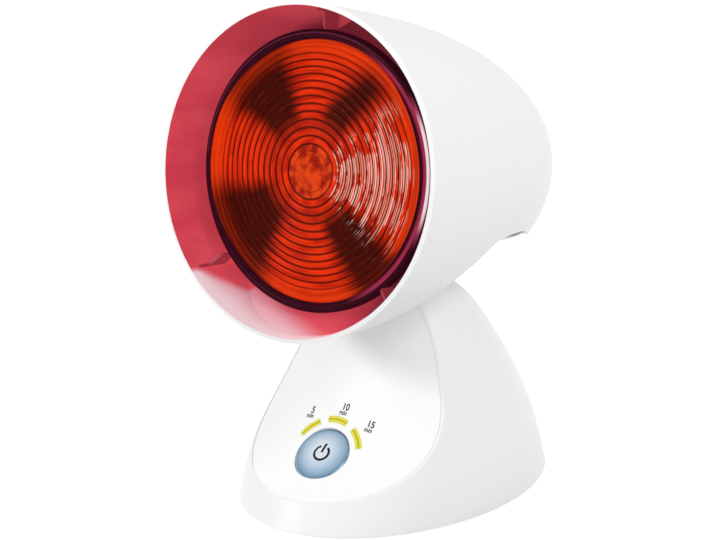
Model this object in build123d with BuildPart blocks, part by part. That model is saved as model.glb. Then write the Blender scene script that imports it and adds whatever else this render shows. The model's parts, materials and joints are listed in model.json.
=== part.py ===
from build123d import *
import os
from math import cos, degrees, pi, radians, sin, tan

# Infrared heat therapy lamp, millimetres and degrees.
# +Z is up, the mouth of the hood faces -Y, and the origin lies on the table under the middle of the lamp.

# ---- Hood: a round shell about an axis that rises towards the mouth ----
rim_radius = 89.0          # outer edge of the mouth
hood_slope = 9.86          # rise of the hood's axis towards the mouth
rim_slope = 10.74          # rise of the mouth's own axis
hood_length = 212.0        # along the axis, mouth to tail
hood_taper = 0.231         # share of the radius lost evenly along the length
hood_fullness = 3.5        # how late the tail closes
hood_roundness = 1.61      # how blunt the tail is
hood_wall = 2.65
hood_overrun = 6.0         # the outline starts this far in front of the mouth and is trimmed back
lip_step = 1.0             # the lip's inner edge stands this far in front of the outer edge

# ---- Underside of the hood: a knee over the hinge, closed by a cover ----
knee_station = 85.5        # distance behind the mouth, along the axis
knee_drop = 29.2           # below the axis
front_floor_slope = 37.7   # slope of the floor in front of the knee, to the axis
rear_floor_slope = -2.4    # slope of the floor behind the knee, to the axis
arch_rise = 4.6            # the shell's lower edge arches this far above the cover behind the knee
arch_length = 65.0
cover_thickness = 2.2
cover_gap = 0.2            # between the cover and the shell
cover_flange = 1.6         # thickness of the upright edge of the cover
cover_flange_height = 8.0
flange_start = 48.0        # the upright edge starts this far behind the mouth
cover_screw_places = [(57.0, 115.0), (-57.0, 115.0), (29.0, 170.0), (-29.0, 170.0)]
cover_lug_width = 10.0
cover_lug_height = 8.0     # above the cover's upright edge
cover_lug_end = 2.0        # left closed over the screw holes
cover_post_radius = 4.0
cover_seat_depth = 1.0
cover_screw_length = 13.5
cut_drop = 12.0            # cuts through the cover start this far below the knee
cut_length = 30.0
shell_root = 1.0           # pieces that grow from the shell's wall stop this far inside its outside

# ---- Hinge between base and hood ----
hinge_y = -14.3
hinge_z = 133.7
drum_radius = 16.0
drum_clearance = 1.0       # between the drum and the floor of the hood
drum_half_width = 24.0
drum_wall = 2.8
drum_end_wall = 3.5
pin_radius = 5.95
pin_fit = 0.05             # radial, pin in drum
side_fit = 0.05            # along the hinge, between pieces that turn on each other
friction_washer_thickness = 0.7
cheek_thickness = 4.2
cheek_radius = 11.0
pin_overrun = 1.0          # of the pins past the retaining rings
pin_head_radius = 8.5
pin_head_height = 2.0
disc_spring_height = 1.6
disc_spring_thickness = 0.8
retaining_ring_thickness = 1.0
retaining_ring_radius = 8.4
cheek_front_reach = 22.0   # along the front floor, from the knee
cheek_rear_reach = 26.0
tilt_down = 10.0           # travel of the hood from the modelled pose
tilt_up = 30.0

# ---- Lead from the foot to the lampholder ----
lead_radius = 2.0
lead_side = 10.0           # the base lead rises this far left of the middle
hood_lead_side = 11.0      # the hood lead rises this far right of the middle
lead_split = 0.3           # between the two leads, where they twist on the hinge axis
lead_hole_gap = 0.6
cover_slot_length = 6.0     # the lead bends backwards as it passes the cover
lead_window_gap = 1.4
lead_hinge_bend = 9.0
lead_foot_height = 46.0    # the base lead leaves the upright over the terminal block
lead_neck_height = 100.0   # and reaches the neck
lead_base_bend = 16.0
lead_run_drop = 23.6       # of the run under the lampholder, below the hood's axis

# ---- Bulb and lampholder, about the hood's axis ----
bulb_radius = 74.3
bulb_ring_front = 17.0     # behind the mouth
bulb_ring_back = 22.0
bulb_ring_width = 4.0
bulb_ring_rounding = 1.0
lens_radius = 69.5
lens_front = 13.5
lens_edge = 19.0
lens_thickness = 3.0
lens_centre_radius = 14.4
lens_seat = 0.5            # the lens's back ends this far inside its edge
lens_band = 0.8            # plain glass between the outermost rib and the edge
lens_ribs = 14
rib_shrink = 0.08          # each rib is narrower by this than the next one inwards
rib_height = 0.7
bowl_thickness = 1.5
bowl_step = 1.0            # the bowl starts this far inside the lens's ring
bowl_outline = [(36.0, 58.0), (56.0, 43.0), (76.0, 30.0), (88.0, 22.0)]
cap_radius = 13.25
cap_front = 92.0
cap_back = 118.0
cap_thickness = 0.4
thread_pitch = 3.6
thread_depth = 0.6
thread_start = 5.0         # behind the front of the cap
thread_end = 3.0           # in front of the back of the cap
insulator_length = 3.0
bulb_contact_radius = 4.8
bulb_contact_length = 1.2
insulator_edge = 1.0       # of the insulator round the contact
filament_station = 52.0
filament_radius = 10.0
filament_thickness = 0.9
filament_start = -210.0
filament_turn = 240.0
support_radius = 0.6
support_gap = 0.1          # between a support and the filament
stem_base_front = 1.0      # in front of the cap
stem_base_length = 3.0
stem_base_gap = 0.2
holder_gap = 0.25          # between the cap and the threaded shell
holder_shell_thickness = 0.5
holder_shell_front = 97.0
holder_front = 94.0
holder_back = 138.0
holder_radius = 21.0
holder_tail_radius = 16.0
holder_tail_length = 8.0
holder_contact_gap = 0.1
holder_contact_radius = 4.0
holder_contact_thickness = 1.2
bracket_thickness = 1.6
bracket_half_width = 15.0
bracket_top = 13.0
bracket_foot_half_width = 7.5
bracket_foot_length = 27.0
bracket_screw_steps = (11.0, 21.0)
bracket_screw_length = 5.0
holder_screw_side = 9.0
lead_end_height = -6.0     # where the lead enters the lampholder
lead_end_depth = 3.0
lead_run_back = 15.0       # the run turns upwards this far behind the lampholder
lead_run_bend = 10.0
lead_end_bend = 8.0

# ---- Fins that centre the bulb ----
fin_angles = [90.0, -45.0, -135.0]
fin_thickness = 1.4
fin_gap = 0.4
fin_root = 1.5             # into the wall
fin_low_height = 1.2
fin_low_start = 3.0
fin_step = 12.5
fin_back = 46.0

# ---- Tail vents and floor vents ----
vent_count = 12
vent_length = 14.0
vent_width = 2.4
vent_ring_radius = 16.0
vent_reach = 35.0          # forward from just behind the tail
floor_vent_count = 5
floor_vent_pitch = 7.0
floor_vent_length = 17.0
floor_vent_station = 176.0

# ---- Base: oval sections (height, half width, half depth, centre behind the middle of the foot) ----
foot_y = -7.3              # middle of the foot
base_sections = [
    (1.2, 74.5, 102.6, 0.0),
    (25.0, 71.8, 93.2, 0.5),
    (50.0, 63.2, 82.6, 1.3),
    (80.0, 50.8, 62.6, 2.3),
    (110.0, 36.6, 32.4, 3.6),
]
neck_half_width = 23.8     # the neck runs up into the hinge's drum
neck_half_depth = 15.5
neck_centre = 1.0          # behind the hinge
neck_drop = 11.7           # the shoulder ends this far below the hinge
section_points = 16
base_wall = 2.4

# ---- Front panel: curved about an upright axis and hollowed from the side ----
panel_axis_back = 57.4     # the upright axis stands this far behind the middle of the foot
panel_arc_radius = 95.0
panel_arc_front = 128.2    # centre of the hollow, in front of the middle of the foot
panel_arc_height = 105.4   # centre of the hollow, above the table
panel_straight_slope = 65.5
panel_top = 112.0
panel_thickness = 2.0
panel_gap = 0.2
panel_rim = 1.1            # width of the shell's edge that shows round the panel
panel_skirt = 1.2
panel_skirt_depth = 4.0
panel_shelf = 2.4

# ---- Button and timer lights ----
button_slope = 40.5        # slope of the panel where the button sits
button_radius = 16.0
button_gap = 0.3
button_crown = 2.4
button_edge = 0.0          # height of the dome's edge
button_rounding = 0.8
button_bottom = -4.4       # heights over the panel's surface, along the button's axis
button_flange_radius = 17.3
button_flange_height = 1.2
button_ceiling = -1.0
button_skirt = 2.0
button_travel = 1.2
light_radius = 21.3
light_width = 3.4
light_gap = 0.1
light_spread = 34.0
light_angles = {"light_pipe_5": 138.0, "light_pipe_10": 90.0, "light_pipe_15": 42.0}
light_bottom = -8.0
light_flange_width = 5.0
light_flange_spread = 26.0
light_flange_thickness = 1.2

# ---- Circuit board behind the panel ----
board_top = -14.0
board_thickness = 1.6
board_hole_clearance = 0.2
board_half_width = 27.0
board_low = -16.0
board_high = 33.0
board_screw_side = 22.5
board_screw_low = -11.0
board_screw_high = 28.5
board_post_radius = 3.0
board_screw_length = 7.0
board_pilot_depth = 8.0
chip_inset = 10.8          # middle of the chip below the top edge of the board
switch_size = 12.0
switch_height = 4.0
stem_radius = 3.4
stem_gap = 0.2
stem_entry = 0.6           # of the stem into the switch
stem_head_thickness = 1.2
led_radius = 2.5
led_height = 5.0
chip_size = 9.0
chip_height = 1.5

# ---- Foot ----
plate_bottom = 2.0
plate_thickness = 2.4
plate_gap = 0.3
foot_radius = 8.0
foot_plug_radius = 3.0
foot_plug_height = 1.4
foot_spread = (84.0, 136.0)
plate_screw_spread = (112.0, 106.0)
plate_boss_radius = 4.0
plate_boss_top = 20.0
plate_boss_end = 2.0       # left closed over the screw holes
plate_screw_length = 14.0
inlet_height = 14.0
inlet_pad_radius = 9.0
inlet_pad_face = 98.6      # behind the middle of the foot
inlet_pad_length = 9.0
inlet_body_radius = 5.5
inlet_bore_radius = 3.6
inlet_collar_radius = 8.0
inlet_collar_length = 2.5
inlet_recess_gap = 0.3
inlet_nut_radius = 7.2
inlet_nut_length = 3.0

# ---- Power board ----
power_board_bottom = 9.0
power_board_half_width = 42.0
power_board_depth = 84.0
power_board_y = 12.7
power_board_screw_inset = 6.0
power_post_radius = 3.5
power_post_end = 1.0       # left closed under the screw holes
power_screw_length = 7.1
relay_size = (15.0, 19.0, 15.5)
relay_place = (20.0, 2.7)
film_size = (18.0, 8.0, 14.0)
film_place = (-22.0, -5.3)
smoothing_radius = 8.0
smoothing_height = 20.0
smoothing_place = (-22.0, 14.7)
fuse_radius = 2.6
fuse_lift = 0.6            # of the glass tube over the board
fuse_length = 20.0
fuse_place = (22.0, 28.7)
fuse_cap_length = 5.0
terminal_size = (22.0, 10.0, 12.0)
terminal_place = (-20.0, 42.7)
terminal_ways = 3
terminal_hole_gap = 0.1
terminal_hole_depth = 2.0
ribbon_width = 12.0
ribbon_thickness = 0.9
ribbon_start = 8.0         # up the panel board from the button's axis
ribbon_drop = 10.0
ribbon_landing = 5.0       # behind the front edge of the power board
ribbon_bend = 5.0

# ---- Screws ----
screw_radius = 1.45
screw_head_radius = 2.9
screw_head_height = 1.7
screw_length = 9.0
pilot_radius = 1.48        # of the holes that screws cut into
screw_clearance = 0.25     # round screws in the holes they pass through
screw_head_clearance = 0.3
screw_slot_length = 2.6
screw_slot_width = 0.6
screw_slot_depth = 0.8


# ---- Hood frame: side to the right, station backwards from the mouth, height square to the axis ----
hood_direction = Vector(0, cos(radians(hood_slope)), -sin(radians(hood_slope)))
hood_up = Vector(0, sin(radians(hood_slope)), cos(radians(hood_slope)))
right = Vector(1, 0, 0)


# ---- Knee: two floor planes that meet over the hinge ----
def floor_normal(slope):
    return Vector(-sin(radians(slope)), cos(radians(slope)))


def knee_point(offset):
    """Where the two floors meet once both are moved up by the offset, as (station, height)."""
    front = floor_normal(front_floor_slope)
    rear = floor_normal(rear_floor_slope)
    shift = (front + rear) * (offset / (1 + front.dot(rear)))
    return (knee_station + shift.X, -knee_drop + shift.Y)


hinge_centre = Vector(0, hinge_y, hinge_z)
hinge_station, hinge_drop = knee_point(-(drum_radius + drum_clearance))
rim_centre = hinge_centre - hood_direction * hinge_station - hood_up * hinge_drop
hood_axis = Axis(rim_centre, hood_direction)
hood_side = Plane(origin=rim_centre, x_dir=hood_direction, z_dir=right)


def hood_point(side, station, height):
    return rim_centre + right * side + hood_direction * station + hood_up * height


def hood_face(station):
    """Plane across the hood, seen from the mouth: x to the right, y up, z towards the mouth."""
    return Plane(origin=hood_point(0, station, 0), x_dir=right, z_dir=-hood_direction)


def hood_level(height):
    """Plane along the hood: x to the right, y backwards, z up."""
    return Plane(origin=hood_point(0, 0, height), x_dir=right, z_dir=hood_up)


def hood_radius(station):
    share = max(station, 0) / hood_length
    closing = (1 - share**hood_fullness) ** (1 / hood_roundness)
    return rim_radius * (1 - hood_taper * station / hood_length) * closing


def hood_outline(inset):
    """Points of the shell's outline, moved in square to it by the inset."""
    spans = 10
    step = 0.01
    points = []
    for span in range(spans):
        station = hood_length * sin(radians(90 * span / spans))
        if span == 0:
            station = -hood_overrun
        slope = (hood_radius(station + step) - hood_radius(station)) / step
        stretch = (1 + slope**2) ** 0.5
        points.append((station + inset * slope / stretch, hood_radius(station) - inset / stretch))
    points.append((hood_length - inset, 0))
    return points


def hood_solid(inset):
    points = hood_outline(inset)
    with BuildPart(mode=Mode.PRIVATE) as body:
        with BuildSketch(hood_side):
            with BuildLine():
                Spline(*points, tangents=((1, -rim_radius * hood_taper / hood_length), (0, -1)))
                Polyline(points[-1], (points[0][0], 0), points[0])
            make_face()
        revolve(axis=hood_axis)
    return body.part


def floor_ends(offset):
    """Points far out on the front floor and on the rear floor."""
    knee = knee_point(offset)
    front_run = 130.0
    rear_run = 160.0
    front_end = (knee[0] - front_run, knee[1] - front_run * tan(radians(front_floor_slope)))
    rear_end = (knee[0] + rear_run, knee[1] + rear_run * tan(radians(rear_floor_slope)))
    return front_end, rear_end


def below_floor(offset):
    """Everything below the floors moved up by the offset."""
    front_end, rear_end = floor_ends(offset)
    depth = 150.0
    with BuildPart(mode=Mode.PRIVATE) as region:
        with BuildSketch(hood_side):
            Polygon(
                front_end,
                knee_point(offset),
                rear_end,
                (rear_end[0], -depth),
                (front_end[0], -depth),
                align=None,
            )
        extrude(amount=2 * rim_radius, both=True)
    return region.part


def below_arch():
    """Everything below the shell's lower edge: the floors, with an arch behind the knee."""
    front_end, rear_end = floor_ends(0)
    knee = knee_point(0)
    arch_end = (knee[0] + arch_length, knee[1] + arch_length * tan(radians(rear_floor_slope)))
    arch_top = ((knee[0] + arch_end[0]) / 2, (knee[1] + arch_end[1]) / 2 + arch_rise)
    depth = 150.0
    with BuildPart(mode=Mode.PRIVATE) as region:
        with BuildSketch(hood_side):
            with BuildLine():
                Line(front_end, knee)
                ThreePointArc(knee, arch_top, arch_end)
                Polyline(arch_end, rear_end, (rear_end[0], -depth), (front_end[0], -depth), front_end)
            make_face()
        extrude(amount=2 * rim_radius, both=True)
    return region.part


lead_clearance = lead_radius + lead_hole_gap
bracket_screw_places = [(0, holder_back + step) for step in bracket_screw_steps]
pin_bore_radius = pin_radius + pin_fit
washer_start = drum_half_width + side_fit
cheek_start = washer_start + friction_washer_thickness
cheek_end = cheek_start + cheek_thickness
spring_end = drum_half_width - drum_end_wall - side_fit
spring_start = spring_end - disc_spring_height
ring_start = spring_start - retaining_ring_thickness


def hinge_plane(side):
    """Plane square to the hinge, at this distance to the right: x backwards, y up."""
    return Plane(origin=(side, hinge_y, hinge_z), x_dir=(0, 1, 0), z_dir=right)


def hinge_cylinder(radius, start, end):
    with BuildPart(mode=Mode.PRIVATE) as body:
        with BuildSketch(hinge_plane(start)):
            Circle(radius)
        extrude(amount=end - start)
    return body.part


def hinge_sides(start, end):
    """The same stretch of the hinge on the right and on the left."""
    return [(start, end), (-end, -start)]


# ---- Base ----
def corners(spread, middle):
    """Four places about a point on the centre line, this far apart across and along."""
    across, along = spread
    return [(x * across / 2, middle + y * along / 2) for x in (-1, 1) for y in (-1, 1)]


foot_places = corners(foot_spread, foot_y)
plate_screw_places = corners(plate_screw_spread, foot_y)
power_board_spread = (
    2 * (power_board_half_width - power_board_screw_inset),
    power_board_depth - 2 * power_board_screw_inset,
)
power_board_screw_places = corners(power_board_spread, power_board_y)


def base_outline(half_width, half_depth, centre):
    """Points of an oval, from its rear end round to the left."""
    points = []
    for index in range(section_points):
        angle = pi / 2 + 2 * pi * index / section_points
        points.append((half_width * cos(angle), foot_y + centre + half_depth * sin(angle)))
    return points


def base_solid(inset):
    """The base's outline, moved in by the inset, up to the height of the hinge."""
    neck = (hinge_z - neck_drop, neck_half_width, neck_half_depth, hinge_y + neck_centre - foot_y)
    with BuildPart(mode=Mode.PRIVATE) as body:
        for height, half_width, half_depth, centre in base_sections + [neck]:
            with BuildSketch(Plane.XY.offset(height)):
                with BuildLine():
                    Spline(*base_outline(half_width - inset, half_depth - inset, centre), periodic=True)
                make_face()
        loft()
        with BuildSketch(Plane.XY.offset(neck[0])):
            with BuildLine():
                Spline(*base_outline(neck[1] - inset, neck[2] - inset, neck[3]), periodic=True)
            make_face()
        extrude(amount=neck_drop)
    return body.part


def panel_zone(depth, top):
    """Everything in front of the panel's surface moved inwards by the depth, up to the top."""
    centre = panel_axis_back + panel_arc_front
    radius = panel_arc_radius + depth
    slope = radians(panel_straight_slope)
    middle = radians(panel_straight_slope / 2)
    bend_start = (centre, panel_arc_height - radius)
    bend_middle = (centre - radius * sin(middle), panel_arc_height - radius * cos(middle))
    bend_end = (centre - radius * sin(slope), panel_arc_height - radius * cos(slope))
    top_point = (bend_end[0] - (top - bend_end[1]) / tan(slope), top)
    with BuildPart(mode=Mode.PRIVATE) as region:
        with BuildSketch(Plane(origin=(0, foot_y + panel_axis_back, 0), x_dir=(0, 1, 0), z_dir=right)):
            with BuildLine():
                ThreePointArc(bend_start, bend_middle, bend_end)
                Polyline(bend_end, top_point, (centre, top), bend_start)
            make_face()
        revolve(axis=Axis((0, foot_y + panel_axis_back, 0), (0, 0, 1)))
    return region.part


def panel_slab(inset, front, back, top):
    """A slab that follows the panel's surface, within the base's outline moved in by the inset."""
    with BuildPart(mode=Mode.PRIVATE) as slab:
        add(base_solid(inset))
        add(panel_zone(back, top), mode=Mode.INTERSECT)
        add(panel_zone(front, panel_top + 1), mode=Mode.SUBTRACT)
    return slab.part


button_angle = radians(button_slope)
button_centre = Vector(
    0,
    foot_y - panel_arc_front + panel_arc_radius * sin(button_angle),
    panel_arc_height - panel_arc_radius * cos(button_angle),
)
button_normal = Vector(0, -sin(button_angle), cos(button_angle))
button_plane = Plane(origin=button_centre, x_dir=right, z_dir=button_normal)
button_side = Plane(origin=button_centre, x_dir=right, z_dir=(0, -cos(button_angle), -sin(button_angle)))
button_axis = Axis(button_centre, button_normal)
board_screw_places = [
    (side * board_screw_side, up) for side in (-1, 1) for up in (board_screw_low, board_screw_high)
]


def button_cylinder(radius, low, high, places=((0, 0),)):
    with BuildPart(mode=Mode.PRIVATE) as body:
        with BuildSketch(button_plane.offset(low)):
            with Locations(*places):
                Circle(radius)
        extrude(amount=high - low)
    return body.part


def light_prism(angle, width, spread, low, high):
    """A piece of a ring round the button with square ends, square to the panel."""
    with BuildPart(mode=Mode.PRIVATE) as prism:
        with BuildSketch(button_plane.offset(low)):
            with BuildLine():
                outer = CenterArc((0, 0), light_radius + width / 2, angle - spread / 2, spread)
                inner = CenterArc((0, 0), light_radius - width / 2, angle - spread / 2, spread)
                Line(outer @ 0, inner @ 0)
                Line(outer @ 1, inner @ 1)
            make_face()
        extrude(amount=high - low)
    return prism.part


def upright_cylinder(radius, low, high, places):
    with BuildPart(mode=Mode.PRIVATE) as body:
        with BuildSketch(Plane.XY.offset(low)):
            with Locations(*places):
                Circle(radius)
        extrude(amount=high - low)
    return body.part


def upright_box(size, place, low):
    with BuildPart(mode=Mode.PRIVATE) as body:
        with BuildSketch(Plane.XY.offset(low)):
            with Locations(place):
                Rectangle(size[0], size[1])
        extrude(amount=size[2])
    return body.part


def screws(planes, length, countersunk=False):
    """Screws whose heads sit on the planes and whose shanks run down from them."""
    with BuildPart(mode=Mode.PRIVATE) as body:
        for plane in planes:
            with BuildSketch(plane):
                Circle(screw_radius)
            extrude(amount=-length)
            with BuildSketch(plane):
                Circle(screw_head_radius)
            if countersunk:
                with BuildSketch(plane.offset(-screw_head_height)):
                    Circle(screw_radius)
                loft()
            else:
                extrude(amount=screw_head_height)
            with BuildSketch(plane.offset(0 if countersunk else screw_head_height)):
                Rectangle(screw_slot_length, screw_slot_width)
                Rectangle(screw_slot_width, screw_slot_length)
            extrude(amount=-screw_slot_depth, mode=Mode.SUBTRACT)
    return body.part


def cap_fall(height, edge_radius, radius):
    """Fall of a spherical cap, of this height over its edge radius, at the given radius."""
    sphere = (edge_radius**2 + height**2) / (2 * height)
    return sphere - (sphere**2 - radius**2) ** 0.5


# ---- Hood pieces ----
def radial_plane(angle):
    """Plane through the hood's axis: x backwards along it, y outwards at this angle."""
    outward = right * cos(radians(angle)) + hood_up * sin(radians(angle))
    return Plane(origin=rim_centre, x_dir=hood_direction, z_dir=hood_direction.cross(outward))


def hood_inside(station):
    return hood_radius(station) - hood_wall


cover_lug_bottom = cover_flange_height + cover_gap
cover_lug_top = cover_lug_bottom + cover_lug_height


def cover_lugs():
    """Blocks inside the shell, over the upright edge of the cover, that the cover's screws enter."""
    with BuildPart(mode=Mode.PRIVATE) as lugs:
        with BuildSketch(hood_level(-knee_drop - cut_drop)):
            for side, station in cover_screw_places:
                reach = rim_radius - abs(side) + cover_lug_width / 2
                middle = abs(side) - cover_lug_width / 2 + reach / 2
                with Locations((middle if side > 0 else -middle, station)):
                    Rectangle(reach, cover_lug_width)
        extrude(amount=cut_drop + cover_lug_top)
        add(below_floor(cover_lug_bottom), mode=Mode.SUBTRACT)
        add(hood_solid(shell_root), mode=Mode.INTERSECT)
    return lugs.part


def cover_posts():
    """Posts on the cover, as high as its upright edge, that its screws pass through."""
    with BuildPart(mode=Mode.PRIVATE) as posts:
        with BuildSketch(hood_level(-knee_drop - cut_drop)):
            with Locations(*cover_screw_places):
                Circle(cover_post_radius)
        extrude(amount=cut_drop + cover_lug_top)
        add(below_floor(cover_thickness / 2), mode=Mode.SUBTRACT)
        add(below_floor(cover_flange_height), mode=Mode.INTERSECT)
        add(hood_solid(hood_wall + cover_gap), mode=Mode.INTERSECT)
    return posts.part


def lip_cutter():
    """Everything in front of the lip, whose face leans forward towards its inner edge."""
    direction = Vector(0, cos(radians(rim_slope)), -sin(radians(rim_slope)))
    lean = lip_step / hood_wall
    inner = -3.0 * hood_wall
    outer = 2.0 * hood_wall
    front = -3 * hood_overrun
    with BuildPart(mode=Mode.PRIVATE) as cutter:
        with BuildSketch(Plane(origin=rim_centre, x_dir=direction, z_dir=right)):
            Polygon(
                (front, rim_radius + inner),
                (lean * inner, rim_radius + inner),
                (lean * outer, rim_radius + outer),
                (front, rim_radius + outer),
                align=None,
            )
        revolve(axis=Axis(rim_centre, direction))
    return cutter.part


def centring_fins():
    ring_edge = bulb_radius + fin_gap
    with BuildPart(mode=Mode.PRIVATE) as fins:
        for angle in fin_angles:
            with BuildSketch(radial_plane(angle)):
                Polygon(
                    (fin_low_start, hood_inside(fin_low_start) + fin_root),
                    (fin_low_start + 1, hood_inside(fin_low_start) - fin_low_height),
                    (fin_step - 1.5, hood_inside(fin_step) - fin_low_height),
                    (fin_step, ring_edge + 1.5),
                    (fin_step + 1.5, ring_edge),
                    (bulb_ring_back + 1, ring_edge),
                    (fin_back, hood_inside(fin_back) + fin_root),
                    align=None,
                )
            extrude(amount=fin_thickness / 2, both=True)
        add(below_floor(cover_thickness + cover_gap), mode=Mode.SUBTRACT)
    return fins.part


def make_hood_shell():
    with BuildPart() as hood_shell:
        add(hood_solid(0))
        add(hood_solid(hood_wall), mode=Mode.SUBTRACT)
        add(centring_fins())
        add(cover_lugs())
        add(below_arch(), mode=Mode.SUBTRACT)
        add(lip_cutter(), mode=Mode.SUBTRACT)
        with BuildSketch(hood_level(-knee_drop - cut_drop)):
            with Locations(*cover_screw_places):
                Circle(pilot_radius)
        extrude(amount=cut_drop + cover_lug_top - cover_lug_end, mode=Mode.SUBTRACT)
        with BuildSketch(hood_face(hood_length + 5)):
            with PolarLocations(vent_ring_radius, vent_count):
                SlotOverall(vent_length, vent_width)
        extrude(amount=vent_reach, mode=Mode.SUBTRACT)
    hood_shell.part.label = "hood_shell"
    export_step(hood_shell.part, "parts/hood_shell.step")


def make_underside_cover():
    with BuildPart(mode=Mode.PRIVATE) as hollow:
        add(hood_solid(hood_wall + cover_gap + cover_flange))
        add(below_floor(cover_thickness), mode=Mode.SUBTRACT)
    with BuildPart(mode=Mode.PRIVATE) as front_space:
        add(hollow.part)
        add(hood_solid(hood_wall))
        add(below_floor(cover_thickness), mode=Mode.SUBTRACT)
        with BuildSketch(hood_face(flange_start)):
            Circle(2 * rim_radius)
        extrude(amount=-2 * hood_length, mode=Mode.SUBTRACT)
    with BuildPart() as underside_cover:
        add(hood_solid(hood_wall + cover_gap))
        add(below_floor(0), mode=Mode.SUBTRACT)
        add(below_floor(cover_flange_height), mode=Mode.INTERSECT)
        add(hollow.part, mode=Mode.SUBTRACT)
        add(front_space.part, mode=Mode.SUBTRACT)
        for start, end in hinge_sides(cheek_start, cheek_end):
            with BuildSketch(hood_side.offset(start)):
                with Locations((hinge_station, hinge_drop)):
                    Circle(cheek_radius)
                make_cheek_outline()
            extrude(amount=end - start)
        add(cover_posts())
        with BuildSketch(hood_level(-knee_drop - cut_drop)):
            with Locations(*cover_screw_places, *bracket_screw_places):
                Circle(screw_radius + screw_clearance)
            with Locations((hood_lead_side, hinge_station + cover_slot_length / 2)):
                SlotCenterToCenter(cover_slot_length, 2 * lead_clearance, rotation=90)
            with Locations((0, floor_vent_station)):
                with GridLocations(floor_vent_pitch, 0, floor_vent_count, 1):
                    SlotOverall(floor_vent_length, vent_width, rotation=90)
        extrude(amount=cut_length, mode=Mode.SUBTRACT)
        for side, station in cover_screw_places + bracket_screw_places:
            with BuildSketch(cover_seat(side, station)):
                Circle(screw_head_radius + screw_head_clearance)
            extrude(amount=2 * screw_head_height, mode=Mode.SUBTRACT)
        add(hinge_cylinder(pin_radius, -2 * cheek_end, 2 * cheek_end), mode=Mode.SUBTRACT)
    underside_cover.part.label = "underside_cover"
    export_step(underside_cover.part, "parts/underside_cover.step")


def make_cheek_outline():
    """The part of a cheek between the floor and the round end."""
    front = radians(front_floor_slope)
    rear = radians(rear_floor_slope)
    Polygon(
        (knee_station - cheek_front_reach * cos(front), -knee_drop - cheek_front_reach * sin(front)),
        knee_point(cover_thickness / 2),
        (knee_station + cheek_rear_reach * cos(rear), -knee_drop + cheek_rear_reach * sin(rear)),
        (hinge_station + cheek_radius * cos(radians(-30)), hinge_drop + cheek_radius * sin(radians(-30))),
        (hinge_station + cheek_radius * cos(radians(215)), hinge_drop + cheek_radius * sin(radians(215))),
        align=None,
    )


def cover_seat(side, station):
    """Plane that the head of a screw under the cover sits on, a little inside the floor, facing down."""
    point = hood_point(side, station, floor_height(station) + cover_seat_depth)
    return Plane(origin=point, x_dir=right, z_dir=-hood_up)


def make_cover_screws():
    planes = [cover_seat(side, station) for side, station in cover_screw_places]
    with BuildPart() as cover_screws:
        add(screws(planes, cover_screw_length))
    cover_screws.part.label = "cover_screws"
    export_step(cover_screws.part, "parts/cover_screws.step")


def floor_height(station):
    """Height of the outside of the rear floor."""
    return -knee_drop + (station - knee_station) * tan(radians(rear_floor_slope))


def make_hinge_pins():
    with BuildPart() as hinge_pins:
        for start, end in hinge_sides(ring_start - pin_overrun, cheek_end):
            add(hinge_cylinder(pin_radius, start, end))
        for start, end in hinge_sides(cheek_end, cheek_end + pin_head_height):
            add(hinge_cylinder(pin_head_radius, start, end))
    hinge_pins.part.label = "hinge_pins"
    export_step(hinge_pins.part, "parts/hinge_pins.step")


def make_friction_washers():
    with BuildPart() as friction_washers:
        for start, end in hinge_sides(washer_start, cheek_start):
            add(hinge_cylinder(cheek_radius, start, end))
        add(hinge_cylinder(pin_radius, -cheek_end, cheek_end), mode=Mode.SUBTRACT)
    friction_washers.part.label = "friction_washers"
    export_step(friction_washers.part, "parts/friction_washers.step")


def make_disc_springs():
    outer = retaining_ring_radius
    with BuildPart() as disc_springs:
        for side in (-1, 1):
            with BuildSketch(Plane(origin=(0, hinge_y, hinge_z), x_dir=right, z_dir=(0, -1, 0))):
                Polygon(
                    (side * spring_start, pin_radius),
                    (side * (spring_start + disc_spring_thickness), pin_radius),
                    (side * spring_end, outer),
                    (side * (spring_end - disc_spring_thickness), outer),
                    align=None,
                )
            revolve(axis=Axis((0, hinge_y, hinge_z), (1, 0, 0)))
    disc_springs.part.label = "disc_springs"
    export_step(disc_springs.part, "parts/disc_springs.step")


def make_retaining_rings():
    with BuildPart() as retaining_rings:
        for start, end in hinge_sides(ring_start, spring_start):
            add(hinge_cylinder(retaining_ring_radius, start, end))
        add(hinge_cylinder(pin_radius, -cheek_end, cheek_end), mode=Mode.SUBTRACT)
    retaining_rings.part.label = "retaining_rings"
    export_step(retaining_rings.part, "parts/retaining_rings.step")


# ---- Bulb ----
def lens_face(radius):
    """Distance behind the mouth of the lens's domed face."""
    return lens_front + cap_fall(lens_edge - lens_front, lens_radius, radius)


def rib_edges():
    """Radii of the valleys between the lens's ribs, from its edge inwards; the ribs narrow towards the edge."""
    outermost = lens_radius - lens_band
    narrowing = rib_shrink * lens_ribs * (lens_ribs - 1) / 2
    innermost_width = (outermost - lens_centre_radius + narrowing) / lens_ribs
    edges = [outermost]
    for rib in range(lens_ribs):
        edges.append(edges[-1] - innermost_width + rib_shrink * (lens_ribs - 1 - rib))
    return edges


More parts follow.
